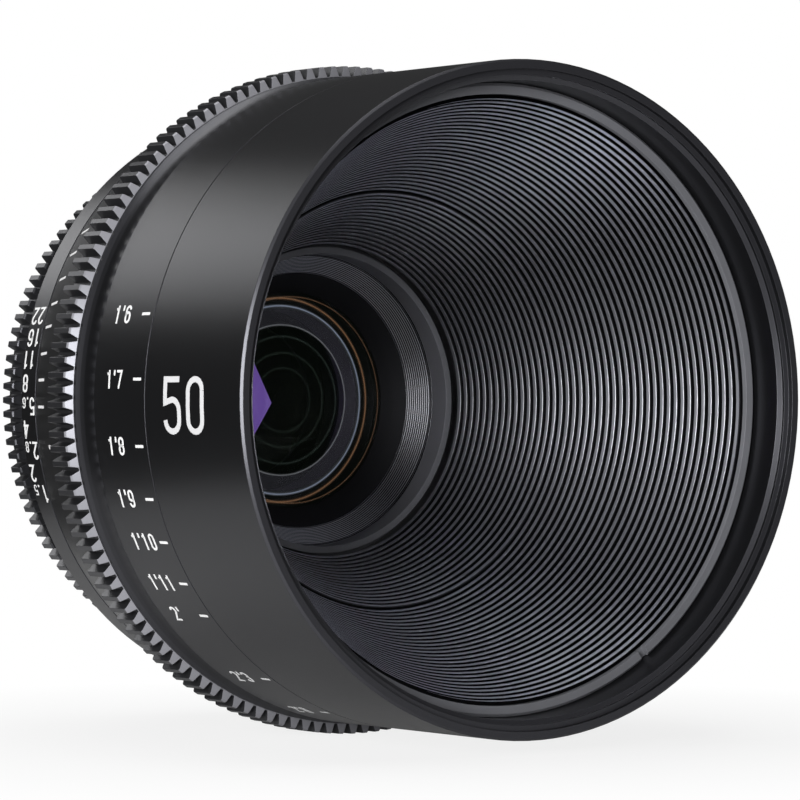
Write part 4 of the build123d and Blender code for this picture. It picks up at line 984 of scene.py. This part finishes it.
# %% [markdown]
# ## The floor
# The lens stands on a pale floor, a small disc whose white grows towards its edge for the
# camera. So it meets the white behind it without a line and still keeps a soft shadow.

# %% A pale floor
floor_radius = 0.17
floor_middle = (0, -0.06, cad_low.z)
floor_sides = 96
floor_colour = (0.8, 0.8, 0.8, 1)
shadow_white = 0.84
shadow_reach = 0.06
white_from = 0.15
floor_form = bmesh.new()
bmesh.ops.create_circle(floor_form, cap_ends=True, radius=floor_radius, segments=floor_sides,
                        matrix=Matrix.Translation(floor_middle))
floor_mesh = bpy.data.meshes.new("studio_floor")
floor_form.to_mesh(floor_mesh)
floor_form.free()
floor = bpy.data.objects.new("studio_floor", floor_mesh)
bpy.context.scene.collection.objects.link(floor)
floor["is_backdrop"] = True
print("floor disc:", floor_radius, "m in radius")

# %% [markdown]
# ## The floor's paint
# The paint mixes two shaders. A pale diffuse one takes the shadow, and a white glow hides
# it towards the edge of the disc. How much of the glow a ray sees depends on its kind, as
# said above, and for the camera it grows with the distance from the middle.

# %% Paint the floor
floor_paint = bpy.data.materials.new("floor_paint")
floor_paint.use_nodes = True
floor_paint.node_tree.nodes.remove(floor_paint.node_tree.nodes["Principled BSDF"])
pale = add_node(floor_paint, "ShaderNodeBsdfDiffuse", Color=floor_colour)
white = add_node(floor_paint, "ShaderNodeEmission", Strength=1.0)
floor_place = add_node(floor_paint, "ShaderNodeTexCoord")
floor_reach = add_node(floor_paint, "ShaderNodeVectorMath", operation="DISTANCE")
floor_reach.inputs[1].default_value = floor_middle
join(floor_paint, floor_place.outputs["Object"], floor_reach.inputs[0])
whiteness = add_node(floor_paint, "ShaderNodeMapRange")
whiteness.inputs["From Min"].default_value = shadow_reach
whiteness.inputs["From Max"].default_value = white_from
whiteness.inputs["To Min"].default_value = shadow_white
whiteness.inputs["To Max"].default_value = 1.0
join(floor_paint, floor_reach.outputs["Value"], whiteness.inputs["Value"])
floor_share, floor_white = white_seen(floor_paint, mirrored_on_floor, scattered_on_floor)
join(floor_paint, whiteness.outputs["Result"], floor_white)
floor_mix = add_node(floor_paint, "ShaderNodeMixShader")
join(floor_paint, floor_share, floor_mix.inputs["Fac"])
join(floor_paint, pale.outputs["BSDF"], floor_mix.inputs[1])
join(floor_paint, white.outputs["Emission"], floor_mix.inputs[2])
join(floor_paint, floor_mix.outputs["Shader"],
     floor_paint.node_tree.nodes["Material Output"].inputs["Surface"])
floor_mesh.materials.append(floor_paint)
print("floor white:", shadow_white, "in the middle, 1 from", white_from, "m")

# %% [markdown]
# ## The studio's white
# The world is plain white, and its strength is the share that each kind of ray may see.

# %% Light the world
world = bpy.data.worlds.new("studio")
bpy.context.scene.world = world
world.use_nodes = True
sky = world.node_tree.nodes["Background"]
sky_share = white_seen(world, mirrored_in_studio, scattered_in_studio)[0]
join(world, sky_share, sky.inputs["Strength"])
sky.inputs["Color"].default_value = (1, 1, 1, 1)
print("world:", world.name)

# %% [markdown]
# ## The softboxes
# Satin black shows only what it mirrors, so the lamps draw its shape. One box above and
# behind the left side gives the upper sheen, the floor gives the lower one, and the gap
# between them is the black band. A box overhead lifts the top a little. A box at the left in
# front draws the bright line on every edge, and a weak one lights the ribs in the cone.

# %% Hang the lamps
def softbox(name, place, aim, width, height, power):
    """A rectangular lamp at a place, turned to face its aim."""
    lamp = bpy.data.lights.new(name, "AREA")
    lamp.shape = "RECTANGLE"
    lamp.size = width
    lamp.size_y = height
    lamp.energy = power
    holder = bpy.data.objects.new(name, lamp)
    bpy.context.scene.collection.objects.link(holder)
    holder.location = place
    holder.rotation_euler = (Vector(aim) - Vector(place)).to_track_quat("-Z", "Y").to_euler()
    print(name, power, "W")


lens_middle = (0, -0.06, 0)
softbox("upper_box", (-0.23, 0.80, 0.40), lens_middle, 0.50, 0.28, 0.95)
softbox("top_box", (-0.1, 0.1, 0.9), lens_middle, 0.7, 0.7, 4.5)
softbox("edge_box", (-0.90, -0.72, 0.08), lens_middle, 0.5, 0.6, 18)
softbox("cone_box", (-0.50, -1.25, 0.10), lens_middle, 0.4, 0.4, 2)

# %% [markdown]
# ## Finish
# The standard view shows a colour about as it is written. Last, we write down how much the
# model grew between its arrival and now.

# %% Settle the view and check the size
bpy.context.scene.view_settings.view_transform = "Standard"
now_low, now_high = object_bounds()
growth = (now_high - now_low) - (cad_high - cad_low)
print("grew by, in mm:", [round(1000 * side, 3) for side in growth])
